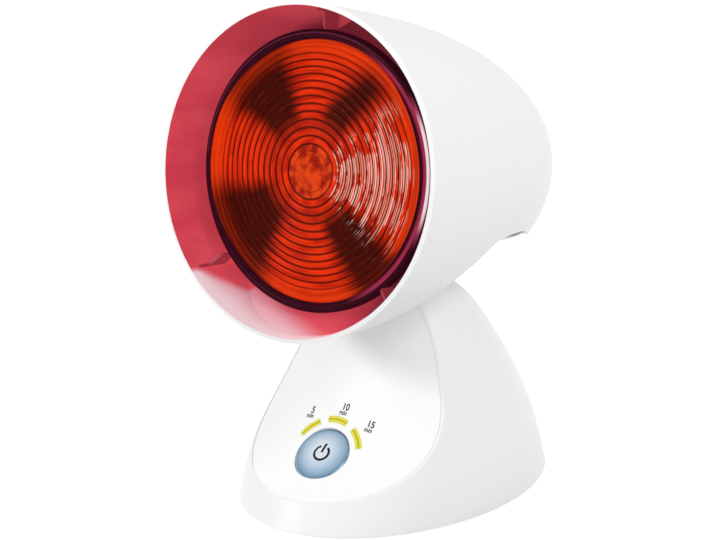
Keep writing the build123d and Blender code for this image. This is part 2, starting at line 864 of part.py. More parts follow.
def make_bulb_lens():
    edges = rib_edges()
    ring_inside = bulb_radius - bulb_ring_width
    ring_edge = bulb_ring_front + bulb_ring_rounding
    back_edge = lens_radius - lens_seat
    back_front = lens_front + lens_thickness
    back_middle = back_front + cap_fall(bulb_ring_back - back_front, back_edge, back_edge / 2)
    with BuildPart() as bulb_lens:
        with BuildSketch(hood_side):
            with BuildLine():
                Polyline((bulb_ring_back, back_edge), (bulb_ring_back, bulb_radius), (ring_edge, bulb_radius))
                ThreePointArc(
                    (ring_edge, bulb_radius),
                    (bulb_ring_front, (bulb_radius + ring_inside) / 2),
                    (ring_edge, ring_inside),
                )
                Polyline((ring_edge, ring_inside), (lens_edge, lens_radius), (lens_face(edges[0]), edges[0]))
                for outer, inner in zip(edges, edges[1:]):
                    middle = (outer + inner) / 2
                    ThreePointArc(
                        (lens_face(outer), outer),
                        (lens_face(middle) - rib_height, middle),
                        (lens_face(inner), inner),
                    )
                ThreePointArc(
                    (lens_face(edges[-1]), edges[-1]),
                    (lens_face(edges[-1] / 2), edges[-1] / 2),
                    (lens_front, 0),
                )
                Line((lens_front, 0), (back_front, 0))
                ThreePointArc((back_front, 0), (back_middle, back_edge / 2), (bulb_ring_back, back_edge))
            make_face()
        revolve(axis=hood_axis)
    bulb_lens.part.label = "bulb_lens"
    export_step(bulb_lens.part, "parts/bulb_lens.step")


def make_bulb_bowl():
    edge = bulb_radius - bowl_step
    inside = [(station - bowl_thickness, radius - bowl_thickness) for station, radius in bowl_outline]
    with BuildPart() as bulb_bowl:
        with BuildSketch(hood_side):
            Polygon(
                (bulb_ring_back, edge),
                *bowl_outline,
                (cap_front, cap_radius),
                (cap_front, cap_radius - bowl_thickness),
                *reversed(inside),
                (bulb_ring_back, edge - 2 * bowl_thickness),
                align=None,
            )
        revolve(axis=hood_axis)
    bulb_bowl.part.label = "bulb_bowl"
    export_step(bulb_bowl.part, "parts/bulb_bowl.step")


def make_bulb_cap():
    threads = int((cap_back - cap_front - thread_start - thread_end) / thread_pitch)
    first = cap_front + thread_start
    inner = cap_radius - thread_depth - cap_thickness
    with BuildPart() as bulb_cap:
        with BuildSketch(hood_side):
            with BuildLine():
                Polyline((cap_front, inner), (cap_front, cap_radius), (first, cap_radius))
                for turn in range(threads):
                    start = first + turn * thread_pitch
                    ThreePointArc(
                        (start, cap_radius),
                        (start + thread_pitch / 2, cap_radius - thread_depth),
                        (start + thread_pitch, cap_radius),
                    )
                Polyline(
                    (first + threads * thread_pitch, cap_radius),
                    (cap_back, cap_radius),
                    (cap_back, inner),
                    (cap_front, inner),
                )
            make_face()
        revolve(axis=hood_axis)
    bulb_cap.part.label = "bulb_cap"
    export_step(bulb_cap.part, "parts/bulb_cap.step")


def hood_disc(outer, inner, start, end):
    """A ring or disc about the hood's axis."""
    with BuildPart(mode=Mode.PRIVATE) as disc:
        with BuildSketch(hood_face(end)):
            Circle(outer)
            if inner > 0:
                Circle(inner, mode=Mode.SUBTRACT)
        extrude(amount=end - start)
    return disc.part


def make_bulb_insulator():
    with BuildPart() as bulb_insulator:
        with BuildSketch(hood_face(cap_back + insulator_length)):
            Circle(bulb_contact_radius + insulator_edge)
        with BuildSketch(hood_face(cap_back)):
            Circle(cap_radius - thread_depth)
        loft()
    bulb_insulator.part.label = "bulb_insulator"
    export_step(bulb_insulator.part, "parts/bulb_insulator.step")


contact_front = cap_back + insulator_length
contact_back = contact_front + bulb_contact_length


def make_bulb_contact():
    with BuildPart() as bulb_contact:
        add(hood_disc(bulb_contact_radius, 0, contact_front, contact_back))
    bulb_contact.part.label = "bulb_contact"
    export_step(bulb_contact.part, "parts/bulb_contact.step")


def make_bulb_filament():
    with BuildPart() as bulb_filament:
        with BuildLine(hood_face(filament_station)) as ring:
            CenterArc((0, 0), filament_radius, filament_start, filament_turn)
        with BuildSketch(Plane(origin=ring.line @ 0, z_dir=ring.line % 0)):
            Circle(filament_thickness)
        sweep(path=ring.line)
    bulb_filament.part.label = "bulb_filament"
    export_step(bulb_filament.part, "parts/bulb_filament.step")


def make_filament_supports():
    stem_front = cap_front + stem_base_front - stem_base_length
    support_end = filament_station + filament_thickness + support_gap
    with BuildPart() as filament_supports:
        with BuildSketch(hood_face(stem_front)):
            with PolarLocations(filament_radius, 2, filament_start, filament_turn, endpoint=True):
                Circle(support_radius)
        extrude(amount=stem_front - support_end)
        with BuildSketch(hood_face(cap_front + stem_base_front)):
            Circle(cap_radius - bowl_thickness - stem_base_gap)
        extrude(amount=stem_base_length)
    filament_supports.part.label = "filament_supports"
    export_step(filament_supports.part, "parts/filament_supports.step")


# ---- Lampholder ----
holder_bore = cap_radius + holder_gap + holder_shell_thickness
holder_contact_start = contact_back + holder_contact_gap
holder_contact_end = holder_contact_start + holder_contact_thickness


def make_lampholder_shell():
    with BuildPart() as lampholder_shell:
        add(hood_disc(holder_bore, holder_bore - holder_shell_thickness, holder_shell_front, contact_front))
    lampholder_shell.part.label = "lampholder_shell"
    export_step(lampholder_shell.part, "parts/lampholder_shell.step")


def make_lampholder_contact():
    with BuildPart() as lampholder_contact:
        add(hood_disc(holder_contact_radius, 0, holder_contact_start, holder_contact_end))
    lampholder_contact.part.label = "lampholder_contact"
    export_step(lampholder_contact.part, "parts/lampholder_contact.step")


holder_screw_places = [(-holder_screw_side, 0), (holder_screw_side, 0)]


def make_lampholder_body():
    with BuildPart() as lampholder_body:
        add(hood_disc(holder_radius, 0, holder_front, holder_back - holder_tail_length))
        add(hood_disc(holder_tail_radius, 0, holder_back - holder_tail_length, holder_back))
        add(hood_disc(holder_bore, 0, holder_front, holder_contact_end), mode=Mode.SUBTRACT)
        with BuildSketch(hood_face(holder_back)):
            with Locations(*holder_screw_places):
                Circle(pilot_radius)
        extrude(amount=screw_length - bracket_thickness, mode=Mode.SUBTRACT)
        with BuildSketch(hood_face(holder_back)):
            with Locations((hood_lead_side, lead_end_height)):
                Circle(lead_clearance)
        extrude(amount=lead_end_depth, mode=Mode.SUBTRACT)
    lampholder_body.part.label = "lampholder_body"
    export_step(lampholder_body.part, "parts/lampholder_body.step")


def bracket_foot_height(station):
    return floor_height(station) + cover_thickness / cos(radians(rear_floor_slope))


def make_lampholder_bracket():
    front_height = bracket_foot_height(holder_back)
    foot_back = holder_back + bracket_foot_length
    with BuildPart() as lampholder_bracket:
        with BuildSketch(hood_face(holder_back + bracket_thickness)):
            with BuildLine():
                Polyline(
                    (-bracket_foot_half_width, front_height + bracket_thickness / 2),
                    (bracket_foot_half_width, front_height + bracket_thickness / 2),
                    (bracket_foot_half_width, -holder_tail_radius),
                    (bracket_half_width, -holder_screw_side),
                    (bracket_half_width, bracket_top),
                    (-bracket_half_width, bracket_top),
                    (-bracket_half_width, -holder_screw_side),
                    (-bracket_foot_half_width, -holder_tail_radius),
                    (-bracket_foot_half_width, front_height + bracket_thickness / 2),
                )
            make_face()
            with Locations(*holder_screw_places):
                Circle(screw_radius + screw_clearance, mode=Mode.SUBTRACT)
            with Locations((hood_lead_side, lead_end_height)):
                Circle(lead_clearance, mode=Mode.SUBTRACT)
        extrude(amount=bracket_thickness)
        with BuildSketch(hood_side):
            Polygon(
                (holder_back, front_height),
                (foot_back, bracket_foot_height(foot_back)),
                (foot_back, bracket_foot_height(foot_back) + bracket_thickness),
                (holder_back, front_height + bracket_thickness),
                align=None,
            )
        extrude(amount=bracket_foot_half_width, both=True)
        with BuildSketch(hood_level(-knee_drop - cut_drop)):
            with Locations(*bracket_screw_places):
                Circle(pilot_radius)
        extrude(amount=cut_length, mode=Mode.SUBTRACT)
    lampholder_bracket.part.label = "lampholder_bracket"
    export_step(lampholder_bracket.part, "parts/lampholder_bracket.step")


def make_bracket_screws():
    planes = [cover_seat(side, station) for side, station in bracket_screw_places]
    with BuildPart() as bracket_screws:
        add(screws(planes, bracket_screw_length))
    bracket_screws.part.label = "bracket_screws"
    export_step(bracket_screws.part, "parts/bracket_screws.step")


def make_lampholder_screws():
    planes = []
    for side, height in holder_screw_places:
        point = hood_point(side, holder_back + bracket_thickness, height)
        planes.append(Plane(origin=point, x_dir=right, z_dir=hood_direction))
    with BuildPart() as lampholder_screws:
        add(screws(planes, screw_length))
    lampholder_screws.part.label = "lampholder_screws"
    export_step(lampholder_screws.part, "parts/lampholder_screws.step")


def lead(points, radii, name):
    """A round lead along straight runs joined by arcs."""
    with BuildPart(mode=Mode.PRIVATE) as body:
        with BuildLine() as route:
            FilletPolyline(*points, radius=radii)
        with BuildSketch(Plane(origin=route.line @ 0, z_dir=route.line % 0)):
            Circle(lead_radius)
        sweep(path=route.line)
    expected = pi * lead_radius**2 * sum(edge.length for edge in route.edges())
    print(name, "radii", radii, "volume", round(body.part.volume), "expected", round(expected))
    return body.part


def make_hood_lead():
    run_end = holder_back + lead_run_back
    points = [
        (lead_split / 2, hinge_y, hinge_z),
        (hood_lead_side, hinge_y, hinge_z),
        hood_point(hood_lead_side, hinge_station, -lead_run_drop),
        hood_point(hood_lead_side, run_end, -lead_run_drop),
        hood_point(hood_lead_side, run_end, lead_end_height),
        hood_point(hood_lead_side, holder_back - lead_end_depth + 1, lead_end_height),
    ]
    with BuildPart() as hood_lead:
        add(lead(points, [lead_hinge_bend, lead_run_bend, lead_end_bend, lead_end_bend], "hood_lead"))
    hood_lead.part.label = "hood_lead"
    export_step(hood_lead.part, "parts/hood_lead.step")


# ---- Base pieces ----
plate_top = plate_bottom + plate_thickness
power_board_top = power_board_bottom + board_thickness


def make_base_shell():
    with BuildPart(mode=Mode.PRIVATE) as shelf:
        add(panel_zone(panel_thickness + panel_shelf, panel_top + panel_shelf))
        with BuildSketch(Plane.XY):
            Rectangle(4 * panel_arc_front, 4 * panel_arc_front)
        extrude(amount=panel_top, mode=Mode.SUBTRACT)
    with BuildPart(mode=Mode.PRIVATE) as window:
        with BuildSketch(hinge_plane(hood_lead_side - lead_radius - lead_window_gap)):
            Polygon(*lead_window_points(), align=None)
        extrude(amount=2 * (lead_radius + lead_window_gap))
    with BuildPart(mode=Mode.PRIVATE) as bosses:
        add(upright_cylinder(plate_boss_radius, plate_top, plate_boss_top, plate_screw_places))
        add(base_solid(shell_root), mode=Mode.INTERSECT)
    recess_radius = inlet_collar_radius + inlet_recess_gap
    pilot_top = plate_boss_top - plate_boss_end
    with BuildPart() as base_shell:
        add(base_solid(0))
        add(hinge_cylinder(drum_radius, -drum_half_width, drum_half_width))
        add(panel_zone(0, panel_top), mode=Mode.SUBTRACT)
        add(base_cavity(shelf.part), mode=Mode.SUBTRACT)
        add(panel_slab(panel_rim, -1, panel_thickness, panel_top), mode=Mode.SUBTRACT)
        for start, end in hinge_sides(drum_half_width - drum_end_wall, drum_half_width):
            add(hinge_cylinder(drum_radius, start, end))
        add(hinge_cylinder(pin_bore_radius, -cheek_end, cheek_end), mode=Mode.SUBTRACT)
        add(window.part, mode=Mode.SUBTRACT)
        add(bosses.part)
        add(inlet_cylinder(inlet_pad_radius, inlet_pad_face - inlet_pad_length, inlet_pad_face))
        add(inlet_cylinder(inlet_body_radius, 0.8 * inlet_pad_face, 2 * inlet_pad_face), mode=Mode.SUBTRACT)
        add(inlet_cylinder(recess_radius, inlet_pad_face, 2 * inlet_pad_face), mode=Mode.SUBTRACT)
        add(upright_cylinder(pilot_radius, plate_bottom, pilot_top, plate_screw_places), mode=Mode.SUBTRACT)
    base_shell.part.label = "base_shell"
    export_step(base_shell.part, "parts/base_shell.step")


def base_cavity(shelf):
    drum_end = drum_half_width - drum_end_wall
    with BuildPart(mode=Mode.PRIVATE) as cavity:
        add(base_solid(base_wall))
        add(shelf, mode=Mode.SUBTRACT)
        add(hinge_cylinder(drum_radius - drum_wall, -drum_end, drum_end))
    return cavity.part


def lead_window_points():
    """A fan from the hinge's centre over the arc that the hood's lead sweeps through the drum."""
    spare = 12.0
    first = 90 - hood_slope + tilt_down + spare
    last = 90 - hood_slope - tilt_up - spare
    reach = 1.4 * drum_radius
    fan = [(0, 0)]
    for angle in (first, (first + last) / 2, last):
        fan.append((reach * cos(radians(angle)), reach * sin(radians(angle))))
    return fan


def inlet_cylinder(radius, front, back):
    """A cylinder along the cord inlet at the rear of the foot."""
    with BuildPart(mode=Mode.PRIVATE) as body:
        with BuildSketch(Plane(origin=(0, foot_y + front, inlet_height), x_dir=(-1, 0, 0), z_dir=(0, 1, 0))):
            Circle(radius)
        extrude(amount=back - front)
    return body.part


def make_front_panel():
    top = panel_top - panel_gap
    skirt_inset = base_wall + panel_gap
    with BuildPart(mode=Mode.PRIVATE) as skirt:
        add(panel_slab(skirt_inset, panel_thickness / 2, panel_thickness + panel_skirt_depth, top))
        add(base_solid(skirt_inset + panel_skirt), mode=Mode.SUBTRACT)
    with BuildPart(mode=Mode.PRIVATE) as posts:
        add(button_cylinder(board_post_radius, board_top, -board_top, board_screw_places))
        add(panel_zone(panel_thickness / 2, panel_top), mode=Mode.SUBTRACT)
    with BuildPart() as front_panel:
        add(panel_slab(panel_rim + panel_gap, 0, panel_thickness, top))
        add(skirt.part)
        add(posts.part)
        add(button_cylinder(button_radius + button_gap, board_top, -board_top), mode=Mode.SUBTRACT)
        for angle in light_angles.values():
            add(light_prism(angle, light_width, light_spread, board_top, -board_top), mode=Mode.SUBTRACT)
        pilot_end = board_top + board_pilot_depth
        add(button_cylinder(pilot_radius, board_top, pilot_end, board_screw_places), mode=Mode.SUBTRACT)
    front_panel.part.label = "front_panel"
    export_step(front_panel.part, "parts/front_panel.step")


def make_light_pipe(name, angle):
    with BuildPart(mode=Mode.PRIVATE) as flange:
        add(light_prism(angle, light_flange_width, light_flange_spread, board_top, -board_top))
        add(panel_zone(panel_thickness + light_flange_thickness, panel_top), mode=Mode.INTERSECT)
        add(panel_zone(panel_thickness, panel_top + 1), mode=Mode.SUBTRACT)
    spread = light_spread - 2 * degrees(light_gap / light_radius)
    with BuildPart() as light_pipe:
        add(light_prism(angle, light_width - 2 * light_gap, spread, light_bottom, -light_bottom))
        add(panel_zone(0, panel_top), mode=Mode.SUBTRACT)
        add(flange.part)
    light_pipe.part.label = name
    export_step(light_pipe.part, f"parts/{name}.step")


def make_power_button():
    edge = button_radius - button_rounding
    side_top = button_edge - button_rounding
    flange_top = button_bottom + button_flange_height
    with BuildPart() as power_button:
        with BuildSketch(button_side):
            with BuildLine():
                Line((0, button_crown), (0, button_bottom))
                Polyline(
                    (0, button_bottom),
                    (button_flange_radius, button_bottom),
                    (button_flange_radius, flange_top),
                    (button_radius, flange_top),
                    (button_radius, side_top),
                )
                RadiusArc((button_radius, side_top), (edge, button_edge), button_rounding)
                ThreePointArc(
                    (edge, button_edge),
                    (edge / 2, button_crown - cap_fall(button_crown - button_edge, edge, edge / 2)),
                    (0, button_crown),
                )
            make_face()
        revolve(axis=button_axis)
        add(button_cylinder(button_radius - button_skirt, button_bottom, button_ceiling), mode=Mode.SUBTRACT)
    power_button.part.label = "power_button"
    export_step(power_button.part, "parts/power_button.step")


switch_top = board_top + switch_height


def make_switch_stem():
    with BuildPart() as switch_stem:
        add(button_cylinder(stem_radius, switch_top - stem_entry, button_ceiling))
        add(button_cylinder(2 * stem_radius, button_ceiling - stem_head_thickness, button_ceiling))
    switch_stem.part.label = "switch_stem"
    export_step(switch_stem.part, "parts/switch_stem.step")


def make_push_switch():
    well = stem_entry + button_travel + stem_gap
    with BuildPart() as push_switch:
        with BuildSketch(button_plane.offset(board_top)):
            Rectangle(switch_size, switch_size)
        extrude(amount=switch_height)
        add(button_cylinder(stem_radius + stem_gap, switch_top - well, switch_top), mode=Mode.SUBTRACT)
    push_switch.part.label = "push_switch"
    export_step(push_switch.part, "parts/push_switch.step")


def make_timer_leds():
    places = []
    for angle in light_angles.values():
        places.append((light_radius * cos(radians(angle)), light_radius * sin(radians(angle))))
    dome_height = board_top + led_height - led_radius
    dome_plane = button_plane.offset(dome_height)
    with BuildPart() as timer_leds:
        add(button_cylinder(led_radius, board_top, dome_height, places))
        with Locations(*[dome_plane.location * Pos(*place) for place in places]):
            Sphere(led_radius)
    timer_leds.part.label = "timer_leds"
    export_step(timer_leds.part, "parts/timer_leds.step")


def make_panel_board():
    middle = (board_low + board_high) / 2
    with BuildPart() as panel_board:
        with BuildSketch(button_plane.offset(board_top - board_thickness)):
            with Locations((0, middle)):
                Rectangle(2 * board_half_width, board_high - board_low)
            with Locations(*board_screw_places):
                Circle(screw_radius + board_hole_clearance, mode=Mode.SUBTRACT)
        extrude(amount=board_thickness)
    panel_board.part.label = "panel_board"
    export_step(panel_board.part, "parts/panel_board.step")


def make_control_chip():
    with BuildPart() as control_chip:
        with BuildSketch(button_plane.offset(board_top - board_thickness - chip_height)):
            with Locations((0, board_high - chip_inset)):
                Rectangle(chip_size, chip_size)
        extrude(amount=chip_height)
    control_chip.part.label = "control_chip"
    export_step(control_chip.part, "parts/control_chip.step")


def make_panel_board_screws():
    planes = []
    for side, up in board_screw_places:
        location = button_plane.offset(board_top - board_thickness).location * Pos(side, up)
        planes.append(Plane(origin=location.position, x_dir=right, z_dir=-button_normal))
    with BuildPart() as panel_board_screws:
        add(screws(planes, board_screw_length))
    panel_board_screws.part.label = "panel_board_screws"
    export_step(panel_board_screws.part, "parts/panel_board_screws.step")


def make_base_plate():
    with BuildPart(mode=Mode.PRIVATE) as heads:
        for side, back in plate_screw_places:
            with BuildSketch(Plane.XY.offset(plate_bottom)):
                with Locations((side, back)):
                    Circle(screw_head_radius)
            with BuildSketch(Plane.XY.offset(plate_bottom + screw_head_height)):
                with Locations((side, back)):
                    Circle(screw_radius)
            loft()
    with BuildPart() as base_plate:
        add(base_solid(base_wall + plate_gap))
        with BuildSketch(Plane.XY.offset(plate_bottom)):
            Rectangle(8 * rim_radius, 8 * rim_radius)
        extrude(amount=plate_thickness, mode=Mode.INTERSECT)
        add(upright_cylinder(power_post_radius, plate_top, power_board_bottom, power_board_screw_places))
        pilot_start = plate_bottom + power_post_end
        add(
            upright_cylinder(pilot_radius, pilot_start, power_board_bottom, power_board_screw_places),
            mode=Mode.SUBTRACT,
        )
        add(upright_cylinder(pilot_radius, plate_bottom, plate_top, plate_screw_places), mode=Mode.SUBTRACT)
        add(heads.part, mode=Mode.SUBTRACT)
        add(
            upright_cylinder(foot_plug_radius, plate_bottom, plate_bottom + foot_plug_height, foot_places),
            mode=Mode.SUBTRACT,
        )
    base_plate.part.label = "base_plate"
    export_step(base_plate.part, "parts/base_plate.step")


def make_rubber_feet():
    with BuildPart() as rubber_feet:
        add(upright_cylinder(foot_radius, 0, plate_bottom, foot_places))
        add(upright_cylinder(foot_plug_radius, plate_bottom, plate_bottom + foot_plug_height, foot_places))
    rubber_feet.part.label = "rubber_feet"
    export_step(rubber_feet.part, "parts/rubber_feet.step")


def make_base_plate_screws():
    planes = []
    for side, back in plate_screw_places:
        planes.append(Plane(origin=(side, back, plate_bottom), x_dir=right, z_dir=(0, 0, -1)))
    with BuildPart() as base_plate_screws:
        add(screws(planes, plate_screw_length, countersunk=True))
    base_plate_screws.part.label = "base_plate_screws"
    export_step(base_plate_screws.part, "parts/base_plate_screws.step")


def make_cord_inlet_bushing():
    pad_front = inlet_pad_face - inlet_pad_length
    nut_front = pad_front - inlet_nut_length
    collar_back = inlet_pad_face + inlet_collar_length
    with BuildPart() as cord_inlet_bushing:
        add(inlet_cylinder(inlet_body_radius, nut_front, collar_back))
        add(inlet_cylinder(inlet_collar_radius, inlet_pad_face, collar_back))
        add(inlet_cylinder(inlet_nut_radius, nut_front, pad_front))
        add(inlet_cylinder(inlet_bore_radius, 0.8 * inlet_pad_face, 2 * inlet_pad_face), mode=Mode.SUBTRACT)
    cord_inlet_bushing.part.label = "cord_inlet_bushing"
    export_step(cord_inlet_bushing.part, "parts/cord_inlet_bushing.step")


def make_power_board():
    with BuildPart() as power_board:
        with BuildSketch(Plane.XY.offset(power_board_bottom)):
            with Locations((0, power_board_y)):
                Rectangle(2 * power_board_half_width, power_board_depth)
            with Locations(*power_board_screw_places):
                Circle(screw_radius + board_hole_clearance, mode=Mode.SUBTRACT)
        extrude(amount=board_thickness)
    power_board.part.label = "power_board"
    export_step(power_board.part, "parts/power_board.step")


def make_board_part(name, size, place):
    with BuildPart() as board_part:
        add(upright_box(size, place, power_board_top))
    board_part.part.label = name
    export_step(board_part.part, f"parts/{name}.step")


def make_smoothing_capacitor():
    top = power_board_top + smoothing_height
    with BuildPart() as smoothing_capacitor:
        add(upright_cylinder(smoothing_radius, power_board_top, top, [smoothing_place]))
    smoothing_capacitor.part.label = "smoothing_capacitor"
    export_step(smoothing_capacitor.part, "parts/smoothing_capacitor.step")


def make_fuse():
    middle, back = fuse_place
    start = middle - fuse_length / 2
    cap_step = (fuse_length - fuse_cap_length) / 2
    cap_size = (fuse_cap_length, 2 * fuse_radius, fuse_radius + fuse_lift)
    height = power_board_top + fuse_radius + fuse_lift
    with BuildPart() as fuse:
        with BuildSketch(Plane(origin=(start, back, height), x_dir=(0, 1, 0), z_dir=right)):
            Circle(fuse_radius)
        extrude(amount=fuse_length)
        for side in (middle - cap_step, middle + cap_step):
            add(upright_box(cap_size, (side, back), power_board_top))
    fuse.part.label = "fuse"
    export_step(fuse.part, "parts/fuse.step")


def make_terminal_block():
    way = terminal_size[0] / terminal_ways
    top = power_board_top + terminal_size[2]
    with BuildPart() as terminal_block:
        add(upright_box(terminal_size, terminal_place, power_board_top))
        with BuildSketch(Plane.XY.offset(top)):
            with Locations(terminal_place):
                with GridLocations(way, 0, terminal_ways, 1):
                    Circle(lead_radius + terminal_hole_gap)
        extrude(amount=-terminal_hole_depth, mode=Mode.SUBTRACT)
    terminal_block.part.label = "terminal_block"
    export_step(terminal_block.part, "parts/terminal_block.step")


def make_power_board_screws():
    planes = []
    for side, back in power_board_screw_places:
        planes.append(Plane(origin=(side, back, power_board_top), x_dir=right, z_dir=(0, 0, 1)))
    with BuildPart() as power_board_screws:
        add(screws(planes, power_screw_length))
    power_board_screws.part.label = "power_board_screws"
    export_step(power_board_screws.part, "parts/power_board_screws.step")


def make_board_ribbon():
    back = button_plane.offset(board_top - board_thickness).location * Pos(0, ribbon_start)
    start = back.position
    bend = start - button_normal * ribbon_drop
    landing = power_board_y - power_board_depth / 2 + ribbon_landing
    with BuildPart() as board_ribbon:
        with BuildSketch(Plane.YZ.offset(-ribbon_width / 2)):
            with BuildLine() as middle:
                FilletPolyline(
                    (start.Y, start.Z),
                    (bend.Y, bend.Z),
                    (landing, bend.Z),
                    (landing, power_board_top),
                    radius=ribbon_bend,
                )
            trace(middle.line, line_width=ribbon_thickness)
        extrude(amount=ribbon_width)
    board_ribbon.part.label = "board_ribbon"
    export_step(board_ribbon.part, "parts/board_ribbon.step")


def make_base_lead():
    side, back = terminal_place
    points = [
        (side, back, power_board_top + terminal_size[2] - terminal_hole_depth),
        (side, back, lead_foot_height),
        (-lead_side, hinge_y, lead_neck_height),
        (-lead_side, hinge_y, hinge_z),
        (-lead_split / 2, hinge_y, hinge_z),
    ]
    with BuildPart() as base_lead:
        add(lead(points, [lead_base_bend, lead_base_bend, lead_hinge_bend], "base_lead"))
    base_lead.part.label = "base_lead"
    export_step(base_lead.part, "parts/base_lead.step")


os.makedirs("parts", exist_ok=True)
make_hood_shell()
make_underside_cover()
make_cover_screws()
make_hinge_pins()
make_friction_washers()
make_disc_springs()
make_retaining_rings()
make_bulb_lens()
make_bulb_bowl()
make_bulb_cap()
make_bulb_insulator()
make_bulb_contact()
make_bulb_filament()
make_filament_supports()
make_lampholder_shell()
make_lampholder_contact()
make_lampholder_body()
make_lampholder_bracket()
make_bracket_screws()
make_lampholder_screws()
make_hood_lead()
make_base_shell()
make_front_panel()
for light_name, light_angle in light_angles.items():
    make_light_pipe(light_name, light_angle)
make_power_button()
make_switch_stem()
make_push_switch()
make_timer_leds()
make_panel_board()
make_control_chip()
make_panel_board_screws()
make_base_plate()
make_rubber_feet()
make_base_plate_screws()
make_cord_inlet_bushing()
make_power_board()
make_board_part("relay", relay_size, relay_place)
make_board_part("film_capacitor", film_size, film_place)
make_smoothing_capacitor()
make_fuse()
make_terminal_block()
make_power_board_screws()
make_board_ribbon()
make_base_lead()
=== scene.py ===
import json
import math

import bmesh
import bpy
from mathutils import Matrix, Vector
from mathutils.bvhtree import BVHTree


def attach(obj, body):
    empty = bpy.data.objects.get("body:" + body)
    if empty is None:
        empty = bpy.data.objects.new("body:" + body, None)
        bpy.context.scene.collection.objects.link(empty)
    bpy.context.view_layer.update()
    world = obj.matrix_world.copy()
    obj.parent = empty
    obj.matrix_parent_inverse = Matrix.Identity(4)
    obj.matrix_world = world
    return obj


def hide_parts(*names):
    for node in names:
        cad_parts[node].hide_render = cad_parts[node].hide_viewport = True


# Infrared heat therapy lamp. Lengths are in millimetres up to the point where a mesh or a light is made.
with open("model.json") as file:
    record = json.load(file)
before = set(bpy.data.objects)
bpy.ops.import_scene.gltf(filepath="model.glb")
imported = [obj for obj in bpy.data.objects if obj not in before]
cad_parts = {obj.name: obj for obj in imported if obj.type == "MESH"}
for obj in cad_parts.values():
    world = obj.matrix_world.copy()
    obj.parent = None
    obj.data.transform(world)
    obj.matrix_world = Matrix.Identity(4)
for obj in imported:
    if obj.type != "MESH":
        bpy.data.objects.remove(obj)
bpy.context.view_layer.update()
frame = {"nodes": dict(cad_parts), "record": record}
MM = 0.001


# ---- Camera: the lamp seen from its right front and a little from above ----
def make_camera():
    around = math.radians(37.24)
    above = math.radians(16.66)
    focal_pixels = 2852.5
    picture_width = 716
    distance = 1565.3
    target = Vector((-16.50, -19.84, 121.18))
    back = Vector((math.sin(around) * math.cos(above), -math.cos(around) * math.cos(above), math.sin(above)))
    camera = bpy.data.objects.new("camera", bpy.data.cameras.new("camera"))
    bpy.context.scene.collection.objects.link(camera)
    camera.data.sensor_width = 36
    camera.data.lens = focal_pixels / picture_width * camera.data.sensor_width
    camera.data.clip_start = 0.05
    camera.data.clip_end = 60
    camera.location = (target + back * distance) * MM
    camera.rotation_mode = "QUATERNION"
    camera.rotation_quaternion = (-back).to_track_quat("-Z", "Y")
    bpy.context.scene.camera = camera


make_camera()

# ---- The hood's own measures ----
HOOD_SLOPE = math.radians(9.86)
HOOD_BACK = Vector((0, math.cos(HOOD_SLOPE), -math.sin(HOOD_SLOPE)))
HOOD_UP = Vector((0, math.sin(HOOD_SLOPE), math.cos(HOOD_SLOPE)))
RIGHT = Vector((1, 0, 0))
RIM_CENTRE = Vector((0, -95.99, 195.03))
RIM_RADIUS = 89.0
HOOD_LENGTH = 212.0
HOOD_TAPER = 0.231
HOOD_FULLNESS = 3.5
HOOD_ROUNDNESS = 1.61
HOOD_WALL = 2.65
FIN_END = 24.0             # how far back the centring fins reach

# ---- The underside cover's floor: two planes that meet at a knee ----
KNEE_STATION = 85.5
KNEE_DROP = 29.2
FRONT_FLOOR = math.radians(37.7)
REAR_FLOOR = math.radians(-2.4)
COVER_THICKNESS = 2.2
COVER_EDGE_START = 50.0    # behind this station the cover's edge stands against the hood's wall

# ---- The bulb's measures ----
BULB_RADIUS = 74.3
RING_FRONT = 17.0
RING_BACK = 22.0
RING_WIDTH = 4.0
RING_ROUNDING = 1.0
LENS_RADIUS = 69.5
LENS_FRONT = 13.5
LENS_EDGE = 19.0
LENS_THICKNESS = 3.0
LENS_SEAT = 0.5
LENS_CENTRE_RADIUS = 14.4
LENS_BAND = 0.8            # plain glass between the outermost rib and the edge
LENS_RIBS = 14
RIB_SHRINK = 0.08          # each rib is narrower by this than the next one inwards
RIB_PITCH = (LENS_RADIUS - LENS_BAND - LENS_CENTRE_RADIUS) / LENS_RIBS + RIB_SHRINK * (LENS_RIBS - 1) / 2
RIB_HEIGHT = 0.7

# ---- The button's own plane ----
BUTTON_SLOPE = math.radians(40.5)
BUTTON_CENTRE = Vector((0, -73.8, 33.16))
BUTTON_NORMAL = Vector((0, -math.sin(BUTTON_SLOPE), math.cos(BUTTON_SLOPE)))
BUTTON_UP = Vector((0, math.cos(BUTTON_SLOPE), math.sin(BUTTON_SLOPE)))
BUTTON_RADIUS = 16.0
LIGHT_RADIUS = 21.3
LIGHT_WIDTH = 3.4
LIGHT_SPREAD = 34.0
LIGHT_ANGLES = (138.0, 90.0, 42.0)     # of the windows for 5, 10 and 15 minutes


# ---- Node graphs: finishes, the sky and shapes ----
class Tone:
    """A number or vector that a graph works out. Arithmetic on it adds Math nodes."""

    def __init__(self, graph, socket):
        self.graph = graph
        self.socket = socket

    def __add__(self, other):
        return self.graph.maths("ADD", self, other)

    def __radd__(self, other):
        return self.graph.maths("ADD", other, self)

    def __sub__(self, other):
        return self.graph.maths("SUBTRACT", self, other)

    def __rsub__(self, other):
        return self.graph.maths("SUBTRACT", other, self)

    def __mul__(self, other):
        return self.graph.maths("MULTIPLY", self, other)

    def __rmul__(self, other):
        return self.graph.maths("MULTIPLY", other, self)

    def __truediv__(self, other):
        return self.graph.maths("DIVIDE", self, other)

    def __pow__(self, other):
        return self.graph.maths("POWER", self, other)

    def __gt__(self, other):
        return self.graph.maths("GREATER_THAN", self, other)

    def __lt__(self, other):
        return self.graph.maths("LESS_THAN", self, other)

    def __abs__(self):
        return self.graph.maths("ABSOLUTE", self)


